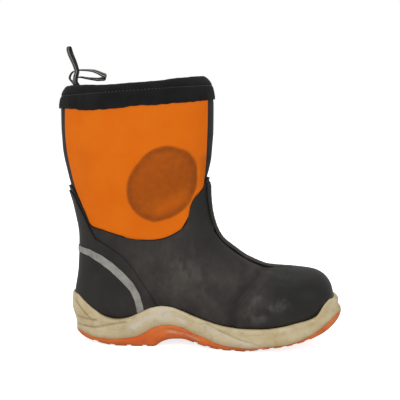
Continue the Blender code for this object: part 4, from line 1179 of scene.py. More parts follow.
def stain_share(points):
    """The soaked stain and the smudge beside it, on the outer side only."""
    x, z = points[:, 0] - STAIN_CENTRE[0], points[:, 2] - STAIN_CENTRE[1]
    reach = np.interp(np.arctan2(z, x), STAIN_TURNS, STAIN_REACH, period=2.0 * math.pi)
    share = np.hypot(x, z) / reach
    stain = np.clip((1.0 - share) / 0.05 + 0.5, 0.0, 1.0)
    rim_tone = 0.80 + 0.20 * bell(share - 0.93, 0.10)
    worn = 0.25 * bell(line_distance(STAIN_WORN, points[:, 0], points[:, 2]), 9.0 * MM)
    smudge = 0.3 * bell(line_distance(SMUDGE, points[:, 0], points[:, 2]), 4.0 * MM)
    smudge += 0.10 * bell(line_distance(AFT_SMUDGE, points[:, 0], points[:, 2]), 9.0 * MM)
    return np.maximum(stain * (rim_tone - worn), smudge) * side_share(points)


# %% The panels
for side, node, turned in (("lateral", "side_panel_lateral", 1.0),
                           ("medial", "side_panel_medial", -1.0)):
    def side_place(round_share, up_share):
        """The same panel on this side of the boot."""
        return panel_place(round_share, up_share, turned)

    panel_mesh = lay_sheet(110, 110, side_place)
    place_sheet(panel_mesh, PANEL_WALL - RUBBER_WALL, cloth_relief)
    add_skin_map(panel_mesh, SHAFT_GIRTH)
    panel = finish_piece("jersey_panel_" + side, panel_mesh, node, PANEL_WALL, 0.3 * MM)
    panel.data.materials.append(orange_jersey)
    panel_points = np.array([vert.co for vert in panel.data.vertices])
    add_attribute(panel, "stain", stain_share(panel_points))

# %% [markdown]
# ## Heel counter and reflective stripe
#
# A second layer of rubber stiffens the heel. Its front edge sweeps down from the back of the ankle
# to the sole, and a strip of reflective tape follows it lower down. Both are cut out of a sheet on
# the last, as a die cuts them out of flat stock.

# %% Heel lines
COUNTER_ROWS = (
    (-0.060, 1.306),
    (0.000, 1.306),
    (0.015, 1.290),
    (0.035, 1.224),
    (0.057, 1.160),
    (0.080, 1.080),
    (0.101, 1.023),
    (0.138, 0.990),
    (0.164, 0.950),
    (0.195, 0.895),
    (0.228, 0.812),
    (0.255, 0.712),
    (0.282, 0.604),
    (0.309, 0.496),
    (0.335, 0.360),
)
STRIPE_TOP_ROWS = (
    (-0.050, 0.957),
    (0.037, 0.948),
    (0.081, 0.932),
    (0.128, 0.885),
    (0.166, 0.826),
    (0.207, 0.730),
    (0.245, 0.622),
    (0.268, 0.515),
    (0.280, 0.400),
    (0.284, 0.300),
)
STRIPE_LOW_ROWS = (
    (-0.050, 0.897),
    (0.037, 0.890),
    (0.078, 0.868),
    (0.122, 0.810),
    (0.160, 0.743),
    (0.200, 0.642),
    (0.233, 0.549),
    (0.249, 0.459),
    (0.256, 0.369),
    (0.259, 0.280),
)
COUNTER_WALL = 1.4 * MM
STRIPE_WALL = 0.6 * MM
HEEL_SHEET_LOW = 5.4
HEEL_SHEET_HIGH = SHAFT_START + 1.6
HEEL_SHEET_TURN = 1.5 * math.pi


def under_line(rows):
    """A value that is above 0 under and behind a line of the heel in the side view."""
    line = np.array([(share * SOLE_LENGTH, float(level(height))) for share, height in rows])
    line = np.stack([np.interp(np.linspace(0, 1, 90), np.linspace(0, 1, len(line)), line[:, place])
                     for place in (0, 1)], axis=1)
    line = np.concatenate([[[-0.1, line[0][1]]], line, [[line[-1][0] + 0.002, -0.1]]])

    def value(points):
        x, z = points[:, 0], points[:, 2]
        inside = np.interp(x, line[:, 0], line[:, 1]) > z
        return np.where(inside, 1.0, -1.0) * line_distance(line, x, z)
    return value


def over_foxing(points):
    """A value that is above 0 over the cream sole's top edge."""
    return points[:, 2] - sole_height("foxing", points[:, 0]) - 1.2 * CLEARANCE


def heel_place(round_share, up_share):
    """Section and turn on the back half of the last."""
    low, high = skin_length(HEEL_SHEET_LOW), skin_length(HEEL_SHEET_HIGH)
    return skin_section(low + (high - low) * up_share), (round_share - 0.5) * HEEL_SHEET_TURN


def cut_heel_sheet(offset, cells, *values):
    """A sheet on the heel, cut by each value in turn."""
    mesh = lay_sheet(cells, int(cells * 1.05), heel_place)
    for value in values:
        trim(mesh, offset, value)
    place_sheet(mesh, offset)
    return mesh


# %% Counter and stripe
counter_mesh = cut_heel_sheet(CLEARANCE + COUNTER_WALL, 170, over_foxing, under_line(COUNTER_ROWS))
counter = finish_piece("heel_counter_layer", counter_mesh, "heel_counter", COUNTER_WALL, 0.5 * MM)
# The counter's darker rubber is painted shade on the heel.
counter.data.materials.append(shaded_counter_rubber)
add_dust_and_painted_light(counter, 0.30)

stripe_low = under_line(STRIPE_LOW_ROWS)
stripe_mesh = cut_heel_sheet(2 * CLEARANCE + COUNTER_WALL + STRIPE_WALL, 230, over_foxing,
                             under_line(STRIPE_TOP_ROWS), lambda points: -stripe_low(points))
stripe = finish_piece("reflective_stripe", stripe_mesh, "heel_stripe", STRIPE_WALL, 0.2 * MM)
stripe.data.materials.append(reflective_tape)

# %% [markdown]
# ## The collar's binding
#
# A strip of brushed knit is folded over the top edge and sewn through, so it stands in two soft
# bands with a seam between them. Its profile is a closed line of sections and offsets, swept
# round the shaft; the raw lower edge wanders a little, as cut cloth does.
# Two more columns say how much each point takes of that hang and of the sag of the crest.

# %% Binding
BINDING_WALL = 2.0 * MM
FACE = -RUBBER_WALL
BACK = FACE - 2 * CLEARANCE - SLEEVE_WALL
INSIDE = BACK - 0.8 * BINDING_WALL
PROFILE_COLUMNS = ("section", "offset", "hang", "crest")
PROFILE_ROWS = (
    (BINDING_START, FACE + 0.56 * BINDING_WALL, 1.0, 0.0),
    (BINDING_START - 0.02, FACE + 0.75 * BINDING_WALL, 1.0, 0.0),
    (BINDING_START + 0.05, FACE + 1.05 * BINDING_WALL, 0.95, 0.0),
    (BINDING_START + 0.25, FACE + 1.18 * BINDING_WALL, 0.7, 0.0),
    (BINDING_START + 0.60, FACE + 1.15 * BINDING_WALL, 0.3, 0.0),
    (BINDING_LINE - 0.14, FACE + 1.1 * BINDING_WALL, 0.0, 0.0),
    (BINDING_LINE - 0.05, FACE + 0.8 * BINDING_WALL, 0.0, 0.0),
    (BINDING_LINE, FACE + 0.5 * BINDING_WALL, 0.0, 0.0),
    (BINDING_LINE + 0.04, FACE + 0.75 * BINDING_WALL, 0.0, 0.0),
    (BINDING_LINE + 0.14, FACE + 1.05 * BINDING_WALL, 0.0, 0.2),
    (BINDING_LINE + 0.45, FACE + 1.05 * BINDING_WALL, 0.0, 0.6),
    (BINDING_TOP - 0.22, FACE + 0.8 * BINDING_WALL, 0.0, 1.0),
    (BINDING_TOP - 0.06, FACE + 0.1 * BINDING_WALL, 0.0, 1.0),
    (BINDING_TOP, FACE - 0.9 * BINDING_WALL, 0.0, 1.0),
    (BINDING_TOP, BACK + 0.7 * BINDING_WALL, 0.0, 1.0),
    (BINDING_TOP - 0.06, BACK - 0.2 * BINDING_WALL, 0.0, 1.0),
    (BINDING_TOP - 0.22, INSIDE, 0.0, 1.0),
    (BINDING_LINE + 0.45, INSIDE - 0.1 * BINDING_WALL, 0.0, 0.6),
    (BINDING_LINE + 0.10, INSIDE, 0.0, 0.2),
    (BINDING_LINE, INSIDE + 0.3 * BINDING_WALL, 0.0, 0.0),
    (BINDING_LINE, BACK, 0.0, 0.0),
    (BINDING_TOP - 0.33, BACK, 0.0, 1.0),
    (BINDING_TOP - 0.33, FACE, 0.0, 1.0),
    (BINDING_LINE, FACE, 0.0, 0.0),
    (BINDING_START + 0.04, FACE + 0.1 * BINDING_WALL, 0.0, 0.0),
    (BINDING_START, FACE + 0.52 * BINDING_WALL, 0.0, 0.0),
)
PROFILE = columns(PROFILE_COLUMNS, PROFILE_ROWS + PROFILE_ROWS[:1])
PROFILE_PLACES = np.arange(len(PROFILE_ROWS) + 1)
HANG_ROWS = ((-0.150, 0.0), (-0.136, 2.0), (-0.123, 4.0), (-0.102, 4.6), (-0.080, 4.0),
             (-0.064, 3.0), (-0.046, 3.6), (-0.022, 3.2), (-0.004, 3.0), (0.012, 2.2),
             (0.020, 1.6))
CREST_ROWS = ((-0.140, 0.0), (-0.118, 1.6), (-0.098, 3.2), (-0.044, 3.0), (-0.028, 1.6),
              (-0.014, 0.9), (0.000, 0.0))
HANG = columns(("x", "drop"), HANG_ROWS)
CREST = columns(("x", "drop"), CREST_ROWS)
FRAY = 0.35 * MM


def binding_place(round_share, up_share):
    """Section and turn on the binding's profile."""
    at = up_share * len(PROFILE_ROWS)
    return np.interp(at, PROFILE_PLACES, PROFILE["section"]), round_share * 2.0 * math.pi


def profile_value(name, shares):
    """A value of the binding's profile at shares of the way round it."""
    return np.interp(shares * len(PROFILE_ROWS), PROFILE_PLACES, PROFILE[name])


binding_mesh = lay_sheet(240, len(PROFILE_ROWS), binding_place)
shares = (np.array([vert.co for vert in binding_mesh.verts])[:, 1] + 1.0) / 2.0
sections, turns = read_sheet(binding_mesh)
offsets = profile_value("offset", shares)
puffs = np.sin(turns * 13.0) * np.sin(turns * 31.0 + sections * 3.0)
offsets += 0.25 * MM * puffs * (offsets > FACE + 0.8 * BINDING_WALL)
points = last_offset(sections, turns, offsets) + STAND
frayed = np.sin(turns * 23.0) * np.sin(turns * 9.0 + 1.0) + 0.7 * np.sin(turns * 47.0 + 0.4)
low_drop = smooth(HANG["x"], HANG["drop"], points[:, 0]) * MM + FRAY * frayed
top_drop = smooth(CREST["x"], CREST["drop"], points[:, 0]) * MM + 0.5 * FRAY * puffs
points[:, 2] -= profile_value("hang", shares) * low_drop + profile_value("crest", shares) * top_drop
for vert, point in zip(binding_mesh.verts, points):
    vert.co = point
add_skin_map(binding_mesh, SHAFT_GIRTH)
bmesh.ops.remove_doubles(binding_mesh, verts=binding_mesh.verts, dist=0.01 * MM)
bmesh.ops.recalc_face_normals(binding_mesh, faces=binding_mesh.faces)
binding = finish_piece("collar_binding", binding_mesh, "top_binding")
soft = binding.modifiers.new("soft", "SUBSURF")
soft.levels = soft.render_levels = 1
binding.data.materials.append(binding_knit)

# %% [markdown]
# ### Seam stitches
#
# A row of lock stitches lies in the channel between the two bands. Each stitch is a short rounded
# thread, a small bevelled cube bowed outwards, laid 136 times round the collar.

# %% Stitches
STITCH_COUNT = 136
STITCH_LENGTH = 2.3 * MM
THREAD = 0.5 * MM
BEVELLED_CUBE = 24


def lay_stitches(name, places, runs, outward, material):
    """Small rounded threads at places, along their runs."""
    mesh = bmesh.new()
    for place, run, out in zip(places, runs, outward):
        run, out = Vector(run).normalized(), Vector(out).normalized()
        side = out.cross(run).normalized()
        made = bmesh.ops.create_cube(mesh, size=1.0)
        edges = list({edge for vert in made["verts"] for edge in vert.link_edges})
        bmesh.ops.bevel(mesh, geom=edges, offset=0.3, segments=1, profile=0.5, affect="EDGES",
                        material=-1)
        mesh.verts.ensure_lookup_table()
        for vert in mesh.verts[-BEVELLED_CUBE:]:
            local = vert.co.copy()
            bow = THREAD * 0.5 * (1.0 - (2.0 * local.x) ** 2)
            vert.co = Vector(place) + run * (local.x * STITCH_LENGTH) + side * (local.y * THREAD)
            vert.co += out * (local.z * THREAD + bow)
    bmesh.ops.recalc_face_normals(mesh, faces=mesh.faces)
    piece = finish_piece(name, mesh, None)
    piece.data.materials.append(material)
    return piece


thread, thread_tree, thread_shader = new_material("grey_polyester_thread", "#4B4749", 0.7)
thread_lint = object_noise(thread_tree, 1.0 / (0.8 * MM), 2.0)
thread_colour = mixed(thread_tree, thread_lint, "#3A3739", "#6B6668")
thread_tree.links.new(thread_colour, thread_shader.inputs["Base Color"])
stitch_turns = np.linspace(0.0, 2.0 * math.pi, STITCH_COUNT, endpoint=False)
on_seam = FACE + 0.62 * BINDING_WALL
stitch_places = last_offset(BINDING_LINE, stitch_turns, on_seam) + STAND
stitch_runs = last_offset(BINDING_LINE, stitch_turns + 0.01, on_seam) + STAND - stitch_places
stitch_out = last_offset(BINDING_LINE, stitch_turns, on_seam + 0.01) + STAND - stitch_places
lay_stitches("binding_stitches", stitch_places, stitch_runs, stitch_out, thread)

# %% [markdown]
# ## The pull loops
#
# Two pieces of webbing are doubled over and sewn inside the binding at the back. One stands up,
# the other has flopped forward. The tables give the middle line between a loop's two strands and
# how far they stand apart; the strip is then swept along one strand and back down the other.

# %% Loop tables
LOOP_WIDTH = 8.5 * MM
LOOP_WALL = 1.4 * MM
LOOP_TAB_BOW = 0.8 * MM
LOOP_COLUMNS = ("fore", "side", "up", "open", "azimuth", "tilt")
TALL_LOOP_ROWS = (
    (0.034, 0.002, 0.085, 0.040, -50.0, 0.0),
    (-0.010, -0.019, 0.191, 0.042, -52.0, 0.0),
    (0.005, -0.023, 0.298, 0.042, -55.0, 0.0),
    (0.037, -0.028, 0.426, 0.040, -55.0, 0.0),
    (0.017, -0.028, 0.511, 0.041, -55.0, 0.0),
    (-0.010, -0.028, 0.596, 0.047, -55.0, 0.0),
    (-0.053, -0.028, 0.702, 0.055, -55.0, 0.0),
    (-0.098, -0.028, 0.809, 0.060, -55.0, 0.0),
    (-0.132, -0.028, 0.915, 0.060, -55.0, 0.0),
    (-0.140, -0.028, 0.966, 0.051, -55.0, 0.0),
    (-0.142, -0.028, 0.991, 0.032, -55.0, 0.0),
    (-0.142, -0.028, 1.000, 0.000, -55.0, 0.0),
)
SLACK_LOOP_ROWS = (
    (0.056, 0.000, 0.110, 0.052, -104.0, 0.0),
    (-0.022, 0.000, 0.270, 0.090, -97.0, 0.0),
    (-0.091, 0.000, 0.412, 0.176, -90.0, 0.0),
    (-0.015, 0.000, 0.524, 0.206, -90.0, -3.0),
    (0.182, -0.009, 0.559, 0.235, -90.0, -8.0),
    (0.388, -0.018, 0.541, 0.265, -90.0, -12.0),
    (0.594, -0.026, 0.518, 0.279, -90.0, -18.0),
    (0.785, -0.032, 0.479, 0.244, -90.0, -26.0),
    (0.920, -0.035, 0.456, 0.165, -90.0, -32.0),
    (0.991, -0.035, 0.447, 0.135, -90.0, -34.0),
    (1.023, -0.035, 0.444, 0.094, -90.0, -34.0),
    (1.038, -0.035, 0.441, 0.000, -90.0, -34.0),
)
TALL_LOOP_LENGTH = 0.047
SLACK_LOOP_LENGTH = 0.034
TALL_LOOP_TURN = 0.40
SLACK_LOOP_TURN = -0.15


# %% The loops
CORNERS = 16


def loop_way(rows, length, turn):
    """Places along a loop's strip and the direction of its width at each."""
    table = columns(LOOP_COLUMNS, rows)
    azimuth, tilt = np.radians(table["azimuth"]), np.radians(table["tilt"])
    width = np.stack([np.cos(azimuth) * np.cos(tilt), np.sin(azimuth) * np.cos(tilt),
                      np.sin(tilt)], axis=1)
    face = INSIDE - CLEARANCE - LOOP_TAB_BOW - LOOP_WALL / 2.0
    tab_sections = np.array([BINDING_LINE + 0.1, BINDING_TOP - 0.15])
    first_tab = last_offset(tab_sections, turn, face)
    second_tab = last_offset(tab_sections, turn, face - LOOP_WALL - CLEARANCE)
    tangent = last_offset(BINDING_TOP, turn + 0.05, face)
    tangent = tangent - last_offset(BINDING_TOP, turn - 0.05, face)
    tangent /= np.linalg.norm(tangent)
    middle = np.stack([table["fore"], table["side"], table["up"]], axis=1) * length + first_tab[1]
    run = np.gradient(np.concatenate([first_tab, middle]), axis=0)[2:]
    inward = np.cross(run, width)
    inward /= np.linalg.norm(inward, axis=1, keepdims=True)
    half_open = inward * table["open"][:, None] * length / 2.0
    way = np.concatenate([first_tab, middle - half_open, (middle + half_open)[-2::-1],
                          second_tab[::-1]])
    tab_width = np.array([tangent, tangent])
    return way, np.concatenate([tab_width, width, width[-2::-1], tab_width])


def make_loop(name, node, rows, length, turn):
    """A loop of webbing: a rounded flat strip swept along its way."""
    way, across = loop_way(rows, length, turn)
    gone = np.concatenate([[0.0], np.cumsum(np.linalg.norm(np.diff(way, axis=0), axis=1))])
    at = np.linspace(0.0, gone[-1], 150)
    way = np.stack([smooth(gone, way[:, place], at) for place in range(3)], axis=1)
    across = np.stack([smooth(gone, across[:, place], at) for place in range(3)], axis=1)
    runs = np.gradient(way, axis=0)
    runs /= np.linalg.norm(runs, axis=1, keepdims=True)
    across -= runs * np.sum(runs * across, axis=1, keepdims=True)
    across /= np.linalg.norm(across, axis=1, keepdims=True)
    thick = np.cross(runs, across)
    turns = np.linspace(0.0, 2.0 * math.pi, CORNERS + 1)
    cosine, sine = np.cos(turns), np.sin(turns)
    sideways = np.sign(cosine) * np.abs(cosine) ** 0.35 * LOOP_WIDTH / 2.0
    upwards = np.sign(sine) * np.abs(sine) ** 0.8 * LOOP_WALL / 2.0
    mesh = bmesh.new()
    bmesh.ops.create_grid(mesh, x_segments=CORNERS, y_segments=len(at) - 1, size=1.0)
    skin = mesh.loops.layers.uv.new("skin")
    places = {}
    for vert in mesh.verts:
        corner = round((vert.co.x + 1.0) / 2.0 * CORNERS)
        station = round((vert.co.y + 1.0) / 2.0 * (len(at) - 1))
        places[vert] = (sideways[corner] / LOOP_WIDTH + 0.5, at[station])
        place = way[station] + across[station] * sideways[corner] + STAND
        vert.co = place + thick[station] * upwards[corner]
    for face in mesh.faces:
        for corner in face.loops:
            corner[skin].uv = places[corner.vert]
    bmesh.ops.remove_doubles(mesh, verts=mesh.verts, dist=0.001 * MM)
    bmesh.ops.holes_fill(mesh, edges=[edge for edge in mesh.edges if edge.is_boundary], sides=0)
    bmesh.ops.recalc_face_normals(mesh, faces=mesh.faces)
    loop = finish_piece(name, mesh, node)
    loop.data.materials.append(black_webbing)


make_loop("webbing_loop_tall", "pull_loop_tall", TALL_LOOP_ROWS,
          TALL_LOOP_LENGTH, TALL_LOOP_TURN)
make_loop("webbing_loop_slack", "pull_loop_slack", SLACK_LOOP_ROWS,
          SLACK_LOOP_LENGTH, SLACK_LOOP_TURN)

# %% [markdown]
# ## The sole
#
# Both layers of the sole are compression-moulded, so their shapes are outlines at heights: a grid
# is laid under the sole's plan, drawn up, and its sides divided into rows. Each row then moves to
# its own outline, which carves the ribs at the heel, the step at the forefoot and the toe bumper.

# %% Plan and side of the sole
EDGE_INSET = 7.5 * MM
SIDE_COLUMNS = ("along", "top", "waist", "joint", "tread", "tuck")
SIDE_ROWS = (
    (0.00, 0.11, 0.00, 0.60, 0.93, 0.55),
    (0.04, 0.13, 0.00, 0.55, 0.80, 0.48),
    (0.10, 0.21, 0.00, 0.25, 0.50, 0.12),
    (0.18, 0.40, 0.00, 0.10, 0.40, 0.00),
    (0.30, 0.27, 0.00, 0.10, 0.40, 0.00),
    (0.40, 0.17, 0.00, 0.10, 0.40, 0.00),
    (0.50, 0.34, 0.00, 0.10, 0.40, 0.00),
    (0.60, 0.26, 0.00, 0.10, 0.40, 0.00),
    (0.85, 0.40, 0.00, 0.10, 0.40, 0.00),
    (0.93, 0.38, 0.18, 0.05, 0.30, 0.00),
    (0.955, 0.50, 0.34, 0.03, 0.26, 0.00),
    (0.97, 0.64, 0.45, 0.03, 0.25, 0.00),
    (1.00, 0.78, 0.52, 0.03, 0.20, 0.00),
)
GROOVE_ROWS = (
    (0.075, -16.0),
    (0.135, -16.0),
    (0.195, -16.0),
    (0.252, -16.0),
    (0.500, 14.0),
    (0.548, 14.0),
    (0.596, 14.0),
    (0.642, 14.0),
    (0.690, 12.0),
    (0.737, 12.0),
    (0.778, 12.0),
    (0.816, 10.0),
    (0.852, 10.0),
    (0.888, 8.0),
)
SIDE = columns(SIDE_COLUMNS, SIDE_ROWS)
STATIONS = 150
STATION_TURNS = np.linspace(0.0, math.pi, STATIONS + 1)
STATION_X = SOLE_LENGTH * (1.0 - np.cos(STATION_TURNS)) / 2.0


def edge_inset(edge, x):
    """How far an edge of the sole's side stands in from the plan."""
    return smooth(SIDE["along"], SIDE[edge], np.asarray(x) / SOLE_LENGTH) * EDGE_INSET


def outline(inset):
    """The sole's outline from above as two sides of points, moved in by a distance."""
    lateral = np.stack([STATION_X, -plan_half("lateral", STATION_X)], axis=1)
    medial = np.stack([STATION_X, plan_half("medial", STATION_X)], axis=1)
    ring = np.concatenate([lateral, medial[-2:0:-1]])
    run = np.roll(ring, -2, axis=0) - np.roll(ring, 2, axis=0)
    run /= np.linalg.norm(run, axis=1, keepdims=True)
    inset = np.concatenate([inset, inset[-2:0:-1]])
    ring = ring + np.stack([-run[:, 1], run[:, 0]], axis=1) * inset[:, None]
    medial_side = np.concatenate([ring[:1], ring[:STATIONS - 1:-1]])
    return ring[:STATIONS + 1], medial_side


def sole_solid(rows, across_count):
    """A solid under the sole's plan: rows of (inset, height) from its underside to its top."""
    mesh = bmesh.new()
    bmesh.ops.create_grid(mesh, x_segments=STATIONS, y_segments=across_count, size=1.0)
    station_layer = mesh.verts.layers.float.new("station")
    across_layer = mesh.verts.layers.float.new("across")
    row_layer = mesh.verts.layers.float.new("row")
    for vert in mesh.verts:
        vert[station_layer] = (vert.co.x + 1.0) / 2.0 * STATIONS
        vert[across_layer] = (vert.co.y + 1.0) / 2.0
    bmesh.ops.reverse_faces(mesh, faces=mesh.faces)
    drawn = bmesh.ops.extrude_face_region(mesh, geom=list(mesh.faces), use_keep_orig=True)
    for item in drawn["geom"]:
        if isinstance(item, bmesh.types.BMVert):
            item[row_layer] = 1.0
            item.co.z = 1.0
    upright = [edge for edge in mesh.edges if edge.verts[0][row_layer] != edge.verts[1][row_layer]]
    bmesh.ops.subdivide_edges(mesh, edges=upright, cuts=len(rows) - 2, use_grid_fill=False)
    outlines = [outline(inset) for inset, height in rows]
    last_row = len(rows) - 1
    for vert in mesh.verts:
        station = round(vert[station_layer])
        across = vert[across_layer]
        row = round(vert[row_layer] * last_row)
        lateral, medial = outlines[row][0][station], outlines[row][1][station]
        place = lateral + (medial - lateral) * across
        vert.co = (place[0], place[1], float(rows[row][1](place[0])))
        vert.co += Vector(STAND)
    bmesh.ops.remove_doubles(mesh, verts=mesh.verts, dist=0.01 * MM)
    bmesh.ops.dissolve_degenerate(mesh, edges=mesh.edges, dist=0.001 * MM)
    bmesh.ops.recalc_face_normals(mesh, faces=mesh.faces)
    return mesh


def apply_cut(piece, cutter_mesh, name):
    """Take a closed mesh out of a piece."""
    data = bpy.data.meshes.new(name)
    cutter_mesh.to_mesh(data)
    cutter_mesh.free()
    cutter = bpy.data.objects.new(name, data)
    bpy.context.scene.collection.objects.link(cutter)
    cutting = piece.modifiers.new(name, "BOOLEAN")
    cutting.operation = "DIFFERENCE"
    cutting.solver = "EXACT"
    cutting.object = cutter
    bpy.context.view_layer.update()
    graph = bpy.context.evaluated_depsgraph_get()
    made = bpy.data.meshes.new_from_object(piece.evaluated_get(graph))
    piece.modifiers.remove(cutting)
    old, kept_name = piece.data, piece.data.name
    piece.data = made
    bpy.data.meshes.remove(old)
    made.name = kept_name
    bpy.data.objects.remove(cutter, do_unlink=True)
    bpy.data.meshes.remove(data)
    print(name, "cut, faces now:", len(made.polygons))


# %% [markdown]
# ### The cream cup
#
# The cup's side carries three ribs at the heel, a raised lip that ends in a step under the ball,
# and a rolled top edge. The ribs and the step are lines in the side view. The bed for the foot is
# cut with the last itself, a hair larger, so rubber and cup meet all round.

# %% Cream cup
HEEL_SIDE = -0.030
RIB_LINES = (
    (side_line(HEEL_SIDE, (74, 302), (80.8, 308.9), (85.9, 314), (92, 319.2)), 1.7),
    (side_line(HEEL_SIDE, (76, 317.6), (88, 318.4), (97, 319)), 1.5),
    (side_line(HEEL_SIDE, (76, 326), (96, 326.4), (103, 324.8), (112.6, 322.6), (127, 320.4)), 1.4),
)
RIB_WIDTH = 1.25 * MM
STEP_LINE = side_line(FOOT_SIDE, (206, 325), (217, 329.8), (226.5, 334.5), (239.3, 339.6),
                      (250, 342.2), (262, 346.2))
STEP_RISE = 1.7 * MM
SIDE_SHARES = np.linspace(0.0, 1.0, 44)
EDGE_ROLL = 1.2 * MM
TOP_STARTS = 0.80
SIDE_HOLLOW = 0.5 * MM
TOE_REACH = 9.0 * MM
TOE_DROP = 1.8 * MM
TOE_PULL = 1.3 * MM
TOE_SWELL = 0.8 * MM


def cup_height(share):
    """Height function of the cup's side at a share of the way from the joint to the top."""
    def height(x):
        low = sole_height("joint", x)
        toe_drop = TOE_DROP * bell(np.asarray(x) - SOLE_LENGTH, TOE_REACH)
        return low + (sole_height("foxing", x) - toe_drop - low) * share
    return height


def signed_line(line, x, z):
    """Height of places over a line of the side view, where the line passes under them."""
    return z - np.interp(x, line[:, 0], line[:, 1])


def cup_inset(share):
    """How far the cup's side stands in at a share of its height."""
    x = STATION_X
    z = cup_height(share)(x)
    waist, tuck = edge_inset("waist", x), edge_inset("tuck", x)
    top, joint = edge_inset("top", x), edge_inset("joint", x)
    low_blend = np.clip(share / 0.45, 0.0, 1.0) ** 0.8
    tuck_blend = 1.0 - np.clip((share - 0.16) / 0.40, 0.0, 1.0)
    waist_blend = 0.6 + 0.4 * np.clip((share - 0.12) / 0.1, 0.0, 1.0)
    body = tuck * tuck_blend + waist * waist_blend
    inset = joint * (1.0 - low_blend) + body * low_blend
    near_top = np.clip((share - TOP_STARTS) / (1.0 - TOP_STARTS), 0.0, 1.0)
    inset += (top - waist) * near_top ** 1.6
    at_toe = bell(x - SOLE_LENGTH, TOE_REACH)
    inset += at_toe * (TOE_PULL * near_top - TOE_SWELL * np.sin(math.pi * share))
    world_x = x + STAND[0]
    for line, depth in RIB_LINES:
        inset += depth * MM * bell(line_distance(line, world_x, z), RIB_WIDTH)
    over = signed_line(STEP_LINE, world_x, z)
    in_step = np.clip((world_x - STEP_LINE[0][0]) / 0.008, 0.0, 1.0)
    in_step *= np.clip((STEP_LINE[-1][0] - world_x) / 0.012, 0.0, 1.0)
    inset -= STEP_RISE * in_step * np.clip(0.5 - over / (0.9 * MM), 0.0, 1.0)
    hollow = SIDE_HOLLOW * np.sin(math.pi * np.clip((share - 0.2) / 0.6, 0.0, 1.0))
    inset += hollow * np.clip((world_x + 0.06) / 0.05, 0.0, 1.0)
    return inset


cup_rows = [(cup_inset(share), cup_height(share)) for share in SIDE_SHARES]
cup_rows[-1] = (cup_rows[-1][0] + EDGE_ROLL * 0.5, cup_rows[-1][1])
cup_mesh = sole_solid(cup_rows, 26)
cup = finish_piece("cream_cup", cup_mesh, "midsole")


def bed_place(round_share, up_share):
    """Section and turn of the foot of the last, closed under the ankle."""
    high = skin_length(SHAFT_START - 1)
    return skin_section(up_share * high), round_share * 2.0 * math.pi


bed_mesh = lay_sheet(150, 130, bed_place)
place_sheet(bed_mesh, CLEARANCE)
close_round(bed_mesh)
bmesh.ops.holes_fill(bed_mesh, edges=[edge for edge in bed_mesh.edges if edge.is_boundary], sides=0)
bmesh.ops.recalc_face_normals(bed_mesh, faces=bed_mesh.faces)
apply_cut(cup, bed_mesh, "foot_bed")
cup.data.shade_smooth()
cup.data.materials.clear()
cup.data.materials.append(cream_rubber)


# Pale places of the sole: the arch smears are partly rubbed rubber and partly painted highlight, and
# the line along the shank is a painted highlight.
PALE_LINES = (
    (side_line(FOOT_SIDE, (132, 329), (142, 322), (156, 315), (166, 316)), 5.5 * MM),
    (side_line(FOOT_SIDE, (158, 309), (172, 311)), 1.8 * MM),
    (side_line(FOOT_SIDE, (178, 320), (184, 324)), 2.5 * MM),
    (side_line(FOOT_SIDE, (167, 334), (184, 336), (198, 341)), 1.3 * MM),
)


def sole_grime_and_painted_light(piece, low_edge, strength):
    """Dirt of a sole layer along its lower edge, painted shade along the ribs and above the step,
    and pale places, partly rubbed and partly painted highlights.
    """
    points = np.array([vert.co for vert in piece.data.vertices])
    x, z = points[:, 0], points[:, 2]
    over_edge = z - sole_height(low_edge, x - STAND[0])
    grime = strength * bell(over_edge, 4.0 * MM)
    for line, depth in RIB_LINES:
        # Painted shade in the grooves of the heel's ribs.
        grime = np.maximum(grime, 0.75 * bell(line_distance(line, x, z), 1.1 * MM))
    over_step = z - np.interp(x, STEP_LINE[:, 0], STEP_LINE[:, 1])
    near_step = bell(line_distance(STEP_LINE, x, z), 5.0 * MM)
    # Painted shade just above the forefoot's step.
    grime = np.maximum(grime, 0.5 * bell(over_step - 1.2 * MM, 0.9 * MM) * near_step)
    # Painted highlight on the step's lip, below the step line.
    pale = 0.8 * near_step * (over_step < 0.0)
    for line, width in PALE_LINES:
        pale = np.maximum(pale, bell(line_distance(line, x, z), width))
    add_attribute(piece, "grime", grime)
    add_attribute(piece, "pale", pale)


sole_grime_and_painted_light(cup, "joint", 0.45)

# %% [markdown]
# ### The orange tread
#
# The outsole wraps the bottom, with a heel, a raised arch and toe spring. Its grooves are cut by
# chevron bars laid across it, deep in the middle and shallow at the edge, where they show as small
# notches. Under the arch its side is scooped out to a shank.

# %% Orange tread
GROOVE_WIDTH = 5.5 * MM
GROOVE_DEPTH = 3.0 * MM
NOTCH_DEPTH = 1.7 * MM
GROOVE_REACH = 18.0 * MM
NOTCH_REACH = -12.0 * MM
SHANK_DEPTH = 3.2 * MM
SHANK_EDGE = 1.6 * MM
FLOOR_EDGE = 0.7 * MM
SHANK_LINE = side_line(FOOT_SIDE, (160, 331), (172, 330.5), (186, 335), (202, 343))


def tread_height(share):
    """Height function of the tread's side at a share of the way from the floor to the joint."""
    def height(x):
        low = sole_height("tread", x)
        return low + (sole_height("joint", x) - CLEARANCE - low) * share
    return height


def tread_inset(share):
    """How far the tread's side stands in at a share of its height."""
    x = STATION_X
    joint, tread = edge_inset("joint", x), edge_inset("tread", x)
    slope = np.clip(share / 0.60, 0.0, 1.0)
    inset = tread * (1.0 - slope) ** 1.3 + joint * (1.0 - (1.0 - slope) ** 1.3)
    world_x, z = x + STAND[0], tread_height(share)(x)
    over = signed_line(SHANK_LINE, world_x, z)
    in_arch = np.clip((world_x - SHANK_LINE[0][0]) / 0.010, 0.0, 1.0)
    in_arch *= np.clip((SHANK_LINE[-1][0] - world_x) / 0.014, 0.0, 1.0)
    inset += SHANK_DEPTH * in_arch * np.clip(0.5 - over / SHANK_EDGE, 0.0, 1.0)
    inset += FLOOR_EDGE * np.clip(1.0 - share / 0.12, 0.0, 1.0)
    return inset


